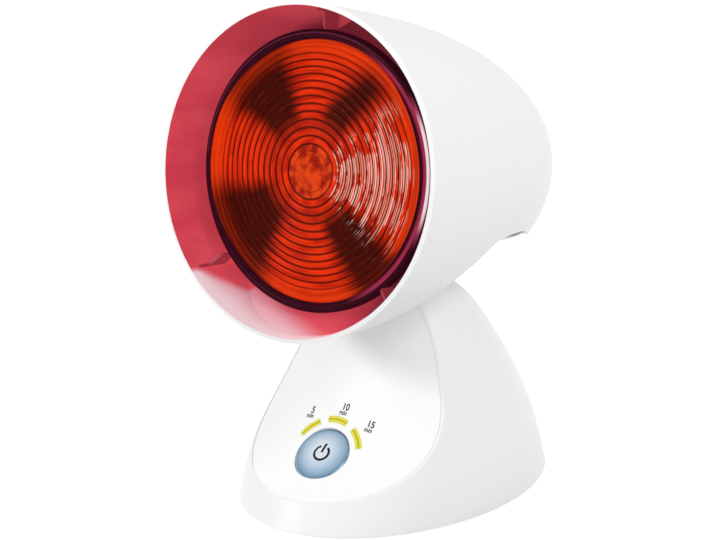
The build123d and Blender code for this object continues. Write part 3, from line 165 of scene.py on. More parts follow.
class Graph:
    """Nodes of a finish, of the sky or of a shape."""

    def node(self, kind, settings=None, values=(), output=0):
        """A node of this kind: its settings first, then the values or links of its sockets."""
        made = self.tree.nodes.new(kind)
        for name, setting in (settings or {}).items():
            if name == "stops":
                ramp = made.color_ramp
                while len(ramp.elements) < len(setting):
                    ramp.elements.new(0.5)
                for element, (position, colour) in zip(ramp.elements, setting):
                    element.position = position
                    element.color = (*colour, 1)
            else:
                setattr(made, name, setting)
        pairs = values.items() if isinstance(values, dict) else enumerate(values)
        for socket, value in pairs:
            if isinstance(value, Tone):
                self.tree.links.new(value.socket, made.inputs[socket])
            else:
                made.inputs[socket].default_value = value
        return Tone(self, made.outputs[output])

    def maths(self, operation, *values):
        return self.node("ShaderNodeMath", {"operation": operation}, values)

    def largest(self, one, other):
        return self.maths("MAXIMUM", one, other)

    def smallest(self, one, other):
        return self.maths("MINIMUM", one, other)

    def root(self, value):
        return self.maths("SQRT", value)

    def wave(self, value):
        return self.maths("COSINE", value)

    def kept(self, value):
        """A number kept between 0 and 1."""
        return self.smallest(self.largest(value, 0.0), 1.0)

    def limit(self, value, low, high):
        """0 at the low value and 1 at the high one, with a soft start and end."""
        settings = {"interpolation_type": "SMOOTHSTEP"}
        return self.node("ShaderNodeMapRange", settings, {"Value": value, "From Min": low, "From Max": high})

    def band(self, value, rising, falling):
        """1 between two soft edges and 0 outside; each edge is given by where it starts and where it ends."""
        return self.limit(value, *rising) * self.limit(value, *reversed(falling))

    def stretch(self, value, low, high, first, last):
        """Runs evenly from the first to the last number while the value goes from low to high."""
        values = {"Value": value, "From Min": low, "From Max": high, "To Min": first, "To Max": last}
        return self.node("ShaderNodeMapRange", None, values)

    def seen(self):
        """1 for what the camera sees, also in a reflection or through glass, and 0 for light that falls on things."""
        rays = self.node("ShaderNodeLightPath").socket.node.outputs
        seen = self.largest(Tone(self, rays["Is Camera Ray"]), Tone(self, rays["Is Glossy Ray"]))
        return self.largest(seen, Tone(self, rays["Is Transmission Ray"]))


class Finish(Graph):
    """A material made from nodes."""

    def __init__(self, name):
        self.material = bpy.data.materials.new(name)
        self.material.use_nodes = True
        self.tree = self.material.node_tree
        self.tree.nodes.clear()
        self.place = self.node("ShaderNodeTexCoord", output="Object")

    def along(self, origin, direction):
        """How far a point of the surface lies from the origin in this direction, in millimetres."""
        offset = self.node("ShaderNodeVectorMath", {"operation": "SUBTRACT"}, (self.place, tuple(origin * MM)))
        metres = self.node("ShaderNodeVectorMath", {"operation": "DOT_PRODUCT"}, (offset, tuple(direction)), "Value")
        return metres / MM

    def noise(self, scale, detail=3.0, stretch=None):
        """Noise from 0 to 1; the scale is in grains per metre."""
        place = self.place
        if stretch:
            place = self.node("ShaderNodeMapping", None, {"Vector": place, "Scale": stretch})
        return self.node("ShaderNodeTexNoise", None, {"Vector": place, "Scale": scale, "Detail": detail})

    def noise_at(self, x, y, z, detail=2.0):
        """Noise from 0 to 1 at a place of the finish's own measures."""
        place = self.node("ShaderNodeCombineXYZ", None, (x, y, z))
        return self.node("ShaderNodeTexNoise", None, {"Vector": place, "Scale": 1.0, "Detail": detail})

    def blend(self, share, one, other):
        """The one colour where the share is 0, the other where it is 1."""
        one, other = ((*c, 1) if isinstance(c, tuple) else c for c in (one, other))
        return self.node("ShaderNodeMix", {"data_type": "RGBA"}, {0: share, 6: one, 7: other}, 2)

    def ramp(self, value, stops):
        return self.node("ShaderNodeValToRGB", {"stops": stops}, (value,))

    def bump(self, height, distance, strength=1.0, below=None):
        values = {"Height": height, "Distance": distance * MM, "Strength": strength}
        if below:
            values["Normal"] = below
        return self.node("ShaderNodeBump", None, values)

    def surface(self, **sockets):
        values = {}
        for name, value in sockets.items():
            name = name.replace("_", " ").title().replace("Ior", "IOR")
            values[name] = (*value, 1) if isinstance(value, tuple) else value
        self.end_in(self.node("ShaderNodeBsdfPrincipled", None, values, "BSDF"))
        return self.material

    def end_in(self, shader):
        end = self.tree.nodes.new("ShaderNodeOutputMaterial")
        self.tree.links.new(shader.socket, end.inputs["Surface"])


class Sky(Graph):
    """The world's light made from nodes."""

    def __init__(self, name):
        self.world = bpy.data.worlds.new(name)
        self.world.use_nodes = True
        self.tree = self.world.node_tree
        self.tree.nodes.clear()

    def end_in(self, shader):
        end = self.tree.nodes.new("ShaderNodeOutputWorld")
        self.tree.links.new(shader.socket, end.inputs["Surface"])


class Shape(Graph):
    """A mesh swept round the hood's axis by nodes, with named sizes in millimetres."""

    SEAM = 2e-6                # metres within which two points become one
    SHARP_ANGLE = 0.9          # radians between two faces from which their edge stays sharp

    def __init__(self, name, sizes):
        self.name = name
        self.sizes = sizes
        self.tree = bpy.data.node_groups.new(name, "GeometryNodeTree")
        self.sockets = {}
        for label, value in sizes.items():
            kind = "NodeSocketInt" if isinstance(value, int) else "NodeSocketFloat"
            self.sockets[label] = self.tree.interface.new_socket(name=label, in_out="INPUT", socket_type=kind)
        self.tree.interface.new_socket(name="Geometry", in_out="OUTPUT", socket_type="NodeSocketGeometry")
        self.entry = self.tree.nodes.new("NodeGroupInput")

    def size(self, label):
        return Tone(self, self.entry.outputs[label])

    def sweep(self, rows, profile):
        """A strip swept once round the axis. The profile gives its station and radius from 0 to 1 along it."""
        values = {"Size X": 1.0, "Size Y": 1.0, "Vertices X": self.size("steps round") + 1, "Vertices Y": rows + 1}
        strip = self.node("GeometryNodeMeshGrid", None, values)
        place = self.node("ShaderNodeSeparateXYZ", None, (self.node("GeometryNodeInputPosition"),))
        turn = (place + 0.5) * math.tau
        share = Tone(self, place.socket.node.outputs["Y"]) + 0.5
        station, radius = profile(share)
        height = radius * self.maths("SINE", turn)
        spot = (
            radius * self.wave(turn) * MM,
            (station * HOOD_BACK.y + height * HOOD_UP.y + RIM_CENTRE.y) * MM,
            (station * HOOD_BACK.z + height * HOOD_UP.z + RIM_CENTRE.z) * MM,
        )
        spot = self.node("ShaderNodeCombineXYZ", None, spot)
        return self.node("GeometryNodeSetPosition", None, {"Geometry": strip, "Position": spot})

    def mesh(self, strips, finish):
        """The strips joined, their seams and poles closed, as a plain mesh in this finish."""
        join = self.tree.nodes.new("GeometryNodeJoinGeometry")
        for strip in reversed(strips):
            self.tree.links.new(strip.socket, join.inputs[0])
        values = {"Geometry": Tone(self, join.outputs[0]), "Distance": self.SEAM}
        closed = self.node("GeometryNodeMergeByDistance", None, values)
        smooth = self.node("GeometryNodeSetShadeSmooth", None, {"Geometry": closed, "Shade Smooth": True})
        sharp = self.node("GeometryNodeInputMeshEdgeAngle") > self.SHARP_ANGLE
        values = {"Geometry": smooth, "Selection": sharp, "Shade Smooth": False}
        edged = self.node("GeometryNodeSetShadeSmooth", {"domain": "EDGE"}, values)
        whole = self.node("GeometryNodeRealizeInstances", None, {"Geometry": edged})
        whole = self.node("GeometryNodeSetMaterial", None, {"Geometry": whole, "Material": finish})
        end = self.tree.nodes.new("NodeGroupOutput")
        self.tree.links.new(whole.socket, end.inputs["Geometry"])
        holder = bpy.data.objects.new(self.name, bpy.data.meshes.new(self.name))
        bpy.context.scene.collection.objects.link(holder)
        modifier = holder.modifiers.new(self.name, "NODES")
        modifier.node_group = self.tree
        for label, socket in self.sockets.items():
            modifier[socket.identifier] = self.sizes[label]
        made = bpy.data.meshes.new_from_object(holder.evaluated_get(bpy.context.evaluated_depsgraph_get()))
        holder.modifiers.remove(modifier)
        bpy.data.objects.remove(holder)
        return made


def hood_measures(finish):
    """Distance behind the mouth, height, radius from the hood's axis and angle in degrees from the right."""
    station = finish.along(RIM_CENTRE, HOOD_BACK)
    side = finish.along(RIM_CENTRE, RIGHT)
    height = finish.along(RIM_CENTRE, HOOD_UP)
    angle = finish.maths("ARCTAN2", height, side) * math.degrees(1)
    return station, height, finish.root(side * side + height * height), angle


def button_measures(finish):
    """Side, distance up the slope and radius from the button's axis of a point of the surface."""
    side = finish.along(BUTTON_CENTRE, RIGHT)
    up = finish.along(BUTTON_CENTRE, BUTTON_UP)
    return side, up, finish.root(side * side + up * up)


def sector(finish, angle, start, end, soft):
    """1 between two angles and 0 outside, with soft edges."""
    return finish.band(angle, (start - soft, start + soft), (end - soft, end + soft))


def patch(finish, radius, angle, place):
    """1 in a patch between two angles and two radii. Its place is the angles, the inner and the outer edge."""
    (start, end, soft), inner, outer = place
    return sector(finish, angle, start, end, soft) * finish.band(radius, inner, outer)


# ---- White plastic ----
BLACK = (0, 0, 0)
SPECK_GREY = (0.62, 0.61, 0.60)
OUTER_TONE = 0.90
PANEL_TONE = 0.92
# Painted glow of the timer lights on the white panel.
PANEL_PAINTED_GLOW = (0.80, 0.82, 0.40)     # where a timer light shines through the panel
PANEL_GLOW_REACH = 1.5


def white_grain(finish, tone):
    """The slow and fine variation of moulded white plastic: its colour, its slow cloud and its fine texture."""
    cloud = finish.noise(16, 2)
    specks = finish.limit(finish.noise(2600, 1), 0.70, 0.78)
    dull = (tone - 0.022, tone - 0.022, tone - 0.026)
    colour = finish.blend(cloud, (tone, tone, tone), dull)
    colour = finish.blend(specks * 0.05, colour, SPECK_GREY)
    skin = finish.bump(finish.noise(2300, 2), 0.02, 0.35)
    return colour, cloud, finish.bump(finish.noise(120, 1), 0.05, 0.25, skin)


def make_white_plastic(name, tone, roughness):
    finish = Finish(name)
    colour, cloud, skin = white_grain(finish, tone)
    return finish.surface(
        base_color=colour, roughness=roughness + cloud * 0.06, normal=skin, specular_ior_level=0.35
    )


# ---- The hood: white outside, lit crimson inside ----
CRIMSON = (0.64, 0.050, 0.084)
BRIGHT_CRIMSON = (0.76, 0.080, 0.110)
DEEP_CRIMSON = (0.44, 0.045, 0.062)
MAROON = (0.185, 0.018, 0.036)
DARK_MAROON = (0.040, 0.004, 0.012)
ROSE = (0.80, 0.36, 0.42)
PALE_ROSE = (0.88, 0.66, 0.70)
FIN_SHADE = (0.33, 0.030, 0.048)
WALL_GLOW = 0.6            # share of the inside's colour that comes from the lamp's own light
# The pale band of painted light at the bottom of the mouth: its first and last angle on each side, and how far back
# it reaches there.
LIT_BAND_LEFT = (-134, -118, 6.0, 32.0)
LIT_BAND_RIGHT = (-120, -54, 30.0, 2.0)
LIT_BAND_SPAN = (-134, -50, 1.5)


def inner_wall(finish, station, angle):
    """The hood's inside: crimson, with painted shade towards the top, the upper right and further in, and a pale band
    of painted light at the bottom of the mouth.
    """
    streaks = finish.noise_at(angle * 0.045, station * 0.012, 3.0, 3)
    colour = finish.blend(finish.limit(streaks, 0.38, 0.66), CRIMSON, BRIGHT_CRIMSON)
    # Painted shade towards the top of the wall.
    top_shade = sector(finish, angle, 84, 140, 16) * 0.45
    colour = finish.blend(top_shade, colour, DEEP_CRIMSON)
    # Painted shade on the right side, darkest in its core.
    right_shade = finish.band(angle, (-72, -50), (76, 92))
    colour = finish.blend(right_shade, colour, MAROON)
    right_shade_core = finish.band(angle, (-62, -38), (50, 80))
    colour = finish.blend(right_shade_core, colour, DARK_MAROON)
    # Painted shade further in from the mouth.
    deep_shade = finish.limit(station, 34, 60) * 0.7
    colour = finish.blend(deep_shade, colour, DARK_MAROON)
    # A pool of painted light: a pale rose band at the bottom of the mouth.
    reach = finish.smallest(finish.stretch(angle, *LIT_BAND_LEFT), finish.stretch(angle, *LIT_BAND_RIGHT))
    low = sector(finish, angle, *LIT_BAND_SPAN) * finish.limit(station - reach, 4.0, -7.0)
    pale = finish.blend(finish.limit(station / reach, 0.90, 0.05), ROSE, PALE_ROSE)
    return finish.blend(low, colour, pale)


def lit_plastic(finish, inside, within):
    """White plastic whose inner side has this colour and glows a little with it."""
    colour, cloud, skin = white_grain(finish, OUTER_TONE)
    return finish.surface(
        base_color=finish.blend(inside, colour, finish.blend(WALL_GLOW, within, BLACK)),
        roughness=0.36 + cloud * 0.06 - inside * 0.06,
        normal=skin,
        specular_ior_level=0.22,
        emission_color=finish.blend(inside, BLACK, within),
        emission_strength=WALL_GLOW,
    )


def make_hood_plastic():
    """Crimson within, by how far a point lies inside the outline, with darker centring fins."""
    finish = Finish("hood_plastic")
    station, _, radius, angle = hood_measures(finish)
    share = finish.smallest(finish.largest(station / HOOD_LENGTH, 0.0), 0.999)
    closing = (1 - share**HOOD_FULLNESS) ** (1 / HOOD_ROUNDNESS)
    outline = (1 - HOOD_TAPER * station / HOOD_LENGTH) * RIM_RADIUS * closing
    depth = outline - radius
    fin = (depth > (HOOD_WALL + 0.35)) * finish.limit(station, FIN_END + 2.0, FIN_END - 2.0)
    within = finish.blend(fin, inner_wall(finish, station, angle), FIN_SHADE)
    return lit_plastic(finish, depth > (HOOD_WALL - 0.25), within)


def make_cover_plastic():
    """White below and on the outer side of its edge; crimson on the side that faces the bulb."""
    finish = Finish("cover_plastic")
    station, height, radius, angle = hood_measures(finish)
    front = (height + KNEE_DROP) * math.cos(FRONT_FLOOR) - (station - KNEE_STATION) * math.sin(FRONT_FLOOR)
    rear = (height + KNEE_DROP) * math.cos(REAR_FLOOR) - (station - KNEE_STATION) * math.sin(REAR_FLOOR)
    outline = (1 - HOOD_TAPER * station / HOOD_LENGTH) * RIM_RADIUS
    within_edge = ((outline - radius) > (HOOD_WALL + 0.9)) + (station < COVER_EDGE_START)
    inside = (finish.largest(front, rear) > (0.6 * COVER_THICKNESS)) * finish.kept(within_edge)
    return lit_plastic(finish, inside, inner_wall(finish, station, angle))


def make_panel_plastic():
    """Glossy white, with a painted glow where the timer lights shine through its edge."""
    finish = Finish("panel_plastic")
    colour, cloud, skin = white_grain(finish, PANEL_TONE)
    side, up, radius = button_measures(finish)
    outside = finish.limit(radius, BUTTON_RADIUS + 1.2, BUTTON_RADIUS + 2.2)
    reach = LIGHT_RADIUS * math.radians(LIGHT_SPREAD / 2) - 0.6
    # Painted glow around each timer window.
    halo = None
    for angle in LIGHT_ANGLES:
        turn = math.radians(angle)
        tangent = abs(up * math.cos(turn) - side * math.sin(turn))
        facing = (side * math.cos(turn) + up * math.sin(turn)) > 0.0
        beyond = finish.largest(tangent - reach, 0.0)
        off = finish.largest(abs(radius - LIGHT_RADIUS) - LIGHT_WIDTH / 2, 0.0)
        near = finish.limit(finish.root(beyond * beyond + off * off), PANEL_GLOW_REACH, 0.0) * facing
        halo = near if halo is None else finish.largest(halo, near)
    return finish.surface(
        base_color=finish.blend(halo * outside * 0.55, colour, PANEL_PAINTED_GLOW),
        roughness=0.42 + cloud * 0.05,
        normal=skin,
        specular_ior_level=0.3,
    )


# ---- The bulb's glass: red ribs over a silvered bowl ----
GLASS_RED = (0.84, 0.034, 0.003)
GLASS_DULL = (0.50, 0.014, 0.003)
GLASS_DEEP = (0.34, 0.012, 0.005)
GLASS_ORANGE = (0.84, 0.052, 0.004)
EMBER = (0.15, 0.009, 0.002)
EMBER_DARK = (0.016, 0.002, 0.001)
GROOVE_SHADE = (0.060, 0.004, 0.002)
RIB_LINE = (0.24, 0.010, 0.003)
GLINT_WHITE = (0.96, 0.74, 0.65)
GLINT_PINK = (0.82, 0.36, 0.25)
DISC_ORANGE = (0.78, 0.060, 0.008)
DISC_RED = (0.34, 0.012, 0.004)
DISC_LINE = (0.16, 0.008, 0.003)
SEAM_DARK = (0.07, 0.004, 0.002)
RING_PURPLE = (0.050, 0.004, 0.014)
RING_BLACK = (0.018, 0.002, 0.006)
RING_MAGENTA = (0.36, 0.028, 0.075)
RING_PINK = (0.50, 0.06, 0.14)
RING_GLINT = (0.95, 0.84, 0.88)
RING_LINE = (0.34, 0.05, 0.13)
GLASS_GLOW = 0.56          # strength of the glass's own light
GLASS_DEPTH = 0.6          # share of its colour that only glows and doesn't reflect

# Each painted dark reflection in the silvered bowl starts and ends at these angles near the middle and further out,
# and keeps this share at the edge.
DARK_REFLECTIONS = [
    ((112, 113), (150, 157), 0.55),
    ((50, 49), (82, 65), 0.15),
    ((-66, -61), (-28, -31), 0.95),
    ((-160, -165), (-118, -113), 0.8),
]
DARK_NEAR = 30.0
DARK_FAR = 62.0

# Patches of painted highlights and reflections on the glass and its ring: the angles and their softness, then the
# radii over which it starts and ends.
GLINT_FAN = (-40, 44, 7), (12.0, 19.0), (60.0, 68.0)
GLINT_CORE = (-26, 30, 15), (16.0, 24.0), (52.0, 64.0)
# Painted reflection, glow, highlight and highlight line on the bulb's ring: colour, share and patch.
RING_PAINTED_LIGHT = [
    (RING_MAGENTA, 1.0, ((-58, 62, 12), (68.0, 69.0), (71.0, 71.6))),
    (RING_PINK, 1.0, ((-18, 36, 8), (71.2, 71.7), (73.6, 74.0))),
    (RING_GLINT, 1.0, ((-12, 29, 6), (71.5, 72.0), (73.2, 73.7))),
    (RING_LINE, 0.3, ((66, 200, 20), (71.95, 72.25), (72.55, 72.85))),
]
GLINTS_PER_RIB = 3
GLINT_WIDTH = 0.25         # of the widest glint, as a share of the space between two
DISC_RING_RADIUS = 10.8


def rib_count(finish, radius):
    """How many ribs lie between the centre disc and this radius, where each rib is narrower than the last."""
    widest = RIB_PITCH + RIB_SHRINK / 2
    under = finish.largest(widest**2 - 2 * RIB_SHRINK * (radius - LENS_CENTRE_RADIUS), 0.0)
    return (widest - finish.root(under)) / RIB_SHRINK


def painted_dark_reflections(finish, radius, angle):
    """Painted dark reflections in the silvered bowl behind the glass."""
    dark = None
    for (start_near, start_far), (end_near, end_far), at_edge in DARK_REFLECTIONS:
        start = finish.stretch(radius, DARK_NEAR, DARK_FAR, start_near, start_far)
        end = finish.stretch(radius, DARK_NEAR, DARK_FAR, end_near, end_far)
        fading = finish.limit(radius, 68.0, 57.0) * (1 - at_edge) + at_edge
        shade = sector(finish, angle, start, end, 8) * fading
        dark = shade if dark is None else finish.largest(dark, shade)
    return dark * finish.limit(radius, 18.0, 34.0)


def painted_highlight_streaks(finish, count, angle, radius):
    """Thin tapered painted highlights that run along the ribs, thickest to the right of the centre."""
    lines = count * GLINTS_PER_RIB
    line = finish.maths("FLOOR", lines)
    off_line = abs(finish.maths("FRACT", lines + 30.0) - 0.5)
    power = finish.noise_at(line * 1.71, angle * 0.050, 4.0, 3)
    broad = finish.noise_at(angle * 0.055, radius * 0.045, 9.0, 2)
    fan = patch(finish, radius, angle, GLINT_FAN)
    width = (power - 0.50) * 2.8 + (broad - 0.50) * 1.5 + patch(finish, radius, angle, GLINT_CORE) * 0.34
    return finish.limit(finish.smallest(width, GLINT_WIDTH) * fan - off_line, -0.10, 0.12) * fan


def glass_glow(finish, count, radius, angle):
    """The glass without its grooves, the arcs that vary it, and how far a point lies in its bright edge."""
    arcs = finish.noise_at(count * 1.3, angle * 0.030, 7.0, 3)
    bright = finish.blend(finish.limit(arcs, 0.40, 0.66), GLASS_RED, GLASS_DULL)
    near_centre = finish.band(radius, (17.0, 23.0), (25.0, 36.0))
    bright = finish.blend(near_centre * 0.40, bright, GLASS_DEEP)
    outer = finish.limit(radius, 59.0, 66.0)
    bright = finish.blend(outer * 0.6, bright, GLASS_ORANGE)
    # Painted dark reflections of the bowl, with ragged edges.
    ragged = finish.noise_at(count * 2.3, angle * 0.012, 1.0) - 0.5
    dark = painted_dark_reflections(finish, radius, angle + ragged * 14)
    embers = finish.limit(finish.noise_at(count * 3.1, angle * 0.09, 12.0, 3), 0.52, 0.72)
    ember_dark = finish.blend(embers * 0.55, EMBER_DARK, EMBER)
    return finish.blend(dark * 0.95, bright, ember_dark), arcs, outer * (1 - dark)


def centre_disc(finish, radius):
    """The flat disc in the middle, clouded red and orange, with one fine ring."""
    clouds = finish.limit(finish.noise(170, 4), 0.40, 0.62)
    disc = finish.blend(clouds, DISC_ORANGE, DISC_RED)
    fine_ring = finish.limit(abs(radius - DISC_RING_RADIUS), 0.50, 0.1)
    return finish.blend(fine_ring * 0.6, disc, DISC_LINE)


def bulb_ring_colour(finish, radius, angle):
    """Dark purple glass with a painted magenta reflection, a painted pink glow and a painted white glint to the
    right, and a fine painted pink highlight line to the left.
    """
    colour = finish.blend(finish.noise_at(angle * 0.05, 0.0, 5.0), RING_PURPLE, RING_BLACK)
    for band_colour, share, place in RING_PAINTED_LIGHT:
        colour = finish.blend(patch(finish, radius, angle, place) * share, colour, band_colour)
    return colour


def make_red_glass():
    """Ribbed red glass over a silvered bowl: four painted dark reflections, painted shade in each groove, painted
    white highlights to the right.
    """
    finish = Finish("red_glass")
    radius, angle = hood_measures(finish)[2:]
    count = rib_count(finish, radius)
    colour, arcs, bright_edge = glass_glow(finish, count, radius, angle)
    across = finish.maths("FRACT", count + 100.0)
    ribbed = finish.limit(radius, LENS_CENTRE_RADIUS - 0.5, LENS_CENTRE_RADIUS)
    # Painted shade in each groove, weaker in the bright edge.
    groove = finish.limit(abs(across - 0.5), 0.26, 0.46)
    colour = finish.blend(groove * ribbed * (0.90 - 0.72 * bright_edge), colour, GROOVE_SHADE)
    rib_line = finish.limit(abs(across - 0.55), 0.10, 0.02) * finish.limit(arcs, 0.48, 0.60)
    colour = finish.blend(rib_line * ribbed * 0.35, colour, RIB_LINE)
    # Painted white and pink highlights along the ribs.
    painted_streak = painted_highlight_streaks(finish, count, angle, radius) * (1 - groove * 0.7)
    glint = finish.blend(finish.limit(arcs, 0.40, 0.60), GLINT_WHITE, GLINT_PINK)
    colour = finish.blend(painted_streak * 0.92, colour, glint)
    within_disc = finish.limit(radius, LENS_CENTRE_RADIUS, LENS_CENTRE_RADIUS - 0.6)
    colour = finish.blend(within_disc, colour, centre_disc(finish, radius))
    seam = finish.limit(abs(radius - LENS_CENTRE_RADIUS), 0.7, 0.2)
    colour = finish.blend(seam * 0.75, colour, SEAM_DARK)
    wider_right = 2.3 * finish.limit(abs(angle), 75.0, 20.0)
    narrower_left = 1.7 * finish.limit(abs(angle), 120.0, 165.0)
    ring_start = LENS_RADIUS - 0.6 - wider_right + narrower_left
    ring = finish.limit(radius - ring_start, -0.3, 0.3)
    colour = finish.blend(ring, colour, bulb_ring_colour(finish, radius, angle))
    return finish.surface(
        base_color=finish.blend(GLASS_DEPTH, colour, BLACK),
        roughness=0.20 + 0.06 * finish.noise(60, 2),
        specular_ior_level=0.04,
        specular_tint=(1.0, 0.30, 0.28),
        emission_color=colour,
        emission_strength=GLASS_GLOW,
        normal=finish.bump(finish.noise(500, 2), 0.02, 0.4),
    )


# ---- Button, timer lights and print ----
# The button's silver blue, running from its painted highlight to the painted shade at the edge.
BUTTON_BLUES = [
    (0.0, (0.72, 0.77, 0.83)),
    (0.34, (0.58, 0.66, 0.75)),
    (0.62, (0.37, 0.49, 0.61)),
    (0.82, (0.19, 0.32, 0.45)),
    (0.93, (0.085, 0.19, 0.31)),
    (1.0, (0.055, 0.145, 0.25)),
]
BUTTON_RIM_HIGHLIGHT = (0.66, 0.73, 0.78)
FLAKE_TONE = (0.80, 0.85, 0.90)
HIGHLIGHT_PLACE = 1.6            # the palest place of the button lies this far up the slope from its middle
LIGHT_YELLOWS = [
    (0.0, (0.30, 0.27, 0.006)),
    (0.22, (0.42, 0.37, 0.006)),
    (0.48, (0.74, 0.66, 0.008)),
    (0.76, (0.80, 0.73, 0.012)),
    (1.0, (0.26, 0.23, 0.010)),
]
LIGHT_CLOUD = (0.85, 0.80, 0.04)
WORN_INK = (0.10, 0.10, 0.11)
PANEL_INK = (0.012, 0.012, 0.014)
BUTTON_INK = (0.006, 0.006, 0.007)


def make_button_paint():
    """Silver blue paint with painted light: a painted highlight above the middle, painted shade deeper towards the
    edge, metal flake, and a painted highlight along the lower rim.
    """
    finish = Finish("button_paint")
    side, up, radius = button_measures(finish)
    # Painted shading: palest a little above the middle, deeper towards the edge and darkest at the bottom.
    above = up - HIGHLIGHT_PLACE
    shaded = finish.root(side * side + above * above) / (BUTTON_RADIUS + HIGHLIGHT_PLACE)
    flake = finish.noise(5200, 1)
    colour = finish.ramp(shaded, BUTTON_BLUES)
    # Painted highlight along the lower rim.
    rim = finish.limit(radius / BUTTON_RADIUS, 0.945, 0.965) * finish.limit(up, 1.0, -4.0)
    colour = finish.blend(rim * 0.85, colour, BUTTON_RIM_HIGHLIGHT)
    colour = finish.blend(finish.limit(flake, 0.60, 0.80) * 0.2, colour, FLAKE_TONE)
    return finish.surface(
        base_color=colour,
        roughness=0.46 + flake * 0.10,
        metallic=0.12,
        coat_weight=0.08,
        coat_roughness=0.35,
        normal=finish.bump(flake, 0.01, 0.3),
    )


def make_light_plastic():
    """Translucent yellow over a lit diode: an olive core, bright shoulders and a dark edge."""
    finish = Finish("light_plastic")
    across = abs(button_measures(finish)[2] - LIGHT_RADIUS)
    colour = finish.ramp(across / (LIGHT_WIDTH / 2), LIGHT_YELLOWS)
    colour = finish.blend(finish.noise(300, 2) * 0.2, colour, LIGHT_CLOUD)
    return finish.surface(
        base_color=colour,
        roughness=0.35,
        emission_color=colour,
        emission_strength=0.06,
        normal=finish.bump(finish.noise(900, 2), 0.02, 0.3),
    )


def make_print_ink(name, colour):
    finish = Finish(name)
    worn = finish.limit(finish.noise(2200, 3), 0.62, 0.85)
    tone = finish.blend(worn * 0.3, colour, WORN_INK)
    skin = finish.bump(finish.noise(3000, 2), 0.01, 0.3)
    return finish.surface(base_color=tone, roughness=0.6 + worn * 0.2, normal=skin, specular_ior_level=0.2)


# ---- Metals and matt materials, mostly of what lies inside ----
def make_metal(name, colour, roughness, brush=(1.0, 1.0, 12.0)):
    """Drawn or stamped metal with fine lines and dulled spots."""
    finish = Finish(name)
    lines = finish.noise(900, 3, brush)
    spots = finish.limit(finish.noise(240, 3), 0.5, 0.75)
    dull = tuple(0.72 * c for c in colour)
    return finish.surface(
        base_color=finish.blend(spots * 0.6 + lines * 0.2, colour, dull),
        metallic=1.0,
        roughness=roughness + lines * 0.12 + spots * 0.12,
        normal=finish.bump(lines, 0.01, 0.5),
    )


def make_matt(name, colour, roughness, grain=1400.0, depth=0.03):
    """Moulded plastic, rubber, ceramic or board: a fine grain, slow colour variation and paler worn spots."""
    finish = Finish(name)
    slow = finish.noise(30, 2)
    fine = finish.noise(grain, 3)
    paler = tuple(min(1.0, c * 1.25 + 0.02) for c in colour)
    return finish.surface(
        base_color=finish.blend(slow * 0.5 + fine * 0.25, colour, paler),
        roughness=roughness + fine * 0.15,
        normal=finish.bump(fine, depth, 0.5),
    )


FINISHES = {
    "white_plastic": make_white_plastic("white_plastic", 0.87, 0.34),
    "hood_plastic": make_hood_plastic(),
    "cover_plastic": make_cover_plastic(),
    "panel_plastic": make_panel_plastic(),
    "button_silver": make_button_paint(),
    "light_window": make_light_plastic(),
    "red_glass": make_red_glass(),
    "silvered_glass": make_metal("silvered_glass", (0.55, 0.05, 0.04), 0.12, (1.0, 1.0, 1.0)),
    "glass_clear": make_matt("glass_clear", (0.70, 0.72, 0.72), 0.05, 300.0, 0.005),
    "aluminium": make_metal("aluminium", (0.80, 0.80, 0.81), 0.28),
    "brass": make_metal("brass", (0.78, 0.58, 0.28), 0.25),
    "tungsten": make_metal("tungsten", (0.32, 0.32, 0.34), 0.40),
    "steel": make_metal("steel", (0.60, 0.61, 0.63), 0.30),
    "ceramic": make_matt("ceramic", (0.84, 0.81, 0.75), 0.22, 700.0, 0.01),
    "rubber_grey": make_matt("rubber_grey", (0.055, 0.055, 0.060), 0.62, 1800.0, 0.06),
    "board_green": make_matt("board_green", (0.03, 0.17, 0.07), 0.38, 600.0, 0.02),
    "black_plastic": make_matt("black_plastic", (0.025, 0.025, 0.028), 0.45),
    "blue_plastic": make_matt("blue_plastic", (0.05, 0.13, 0.42), 0.42),
    "fibre": make_matt("fibre", (0.26, 0.10, 0.05), 0.70, 2400.0, 0.06),
    "lead_white": make_matt("lead_white", (0.80, 0.79, 0.76), 0.45, 1500.0, 0.02),
    "led_yellow": make_matt("led_yellow", (0.90, 0.82, 0.20), 0.18, 500.0, 0.005),
}
NODE_FINISH = {"hood_shell": "hood_plastic", "underside_cover": "cover_plastic"}

for part in frame["record"]["subparts"]:
    mesh = frame["nodes"][part["node"]].data
    mesh.materials.clear()
    mesh.materials.append(FINISHES[NODE_FINISH.get(part["node"], part["material_slot"])])


# ---- Pieces made here: thin print on the panel and the button, and the bulb's ribbed front ----
def surface_of(node):
    mesh = frame["nodes"][node].data
    return BVHTree.FromPolygons([v.co for v in mesh.vertices], [p.vertices for p in mesh.polygons])


def lay_on(surface, side, up, lift):
    """The point of the surface under this place of the button's plane, lifted a little, in metres."""
    well_above = 30
    start = (BUTTON_CENTRE + RIGHT * side + BUTTON_UP * up + BUTTON_NORMAL * well_above) * MM
    hit = surface.ray_cast(start, -BUTTON_NORMAL)[0]
    return hit + BUTTON_NORMAL * lift * MM


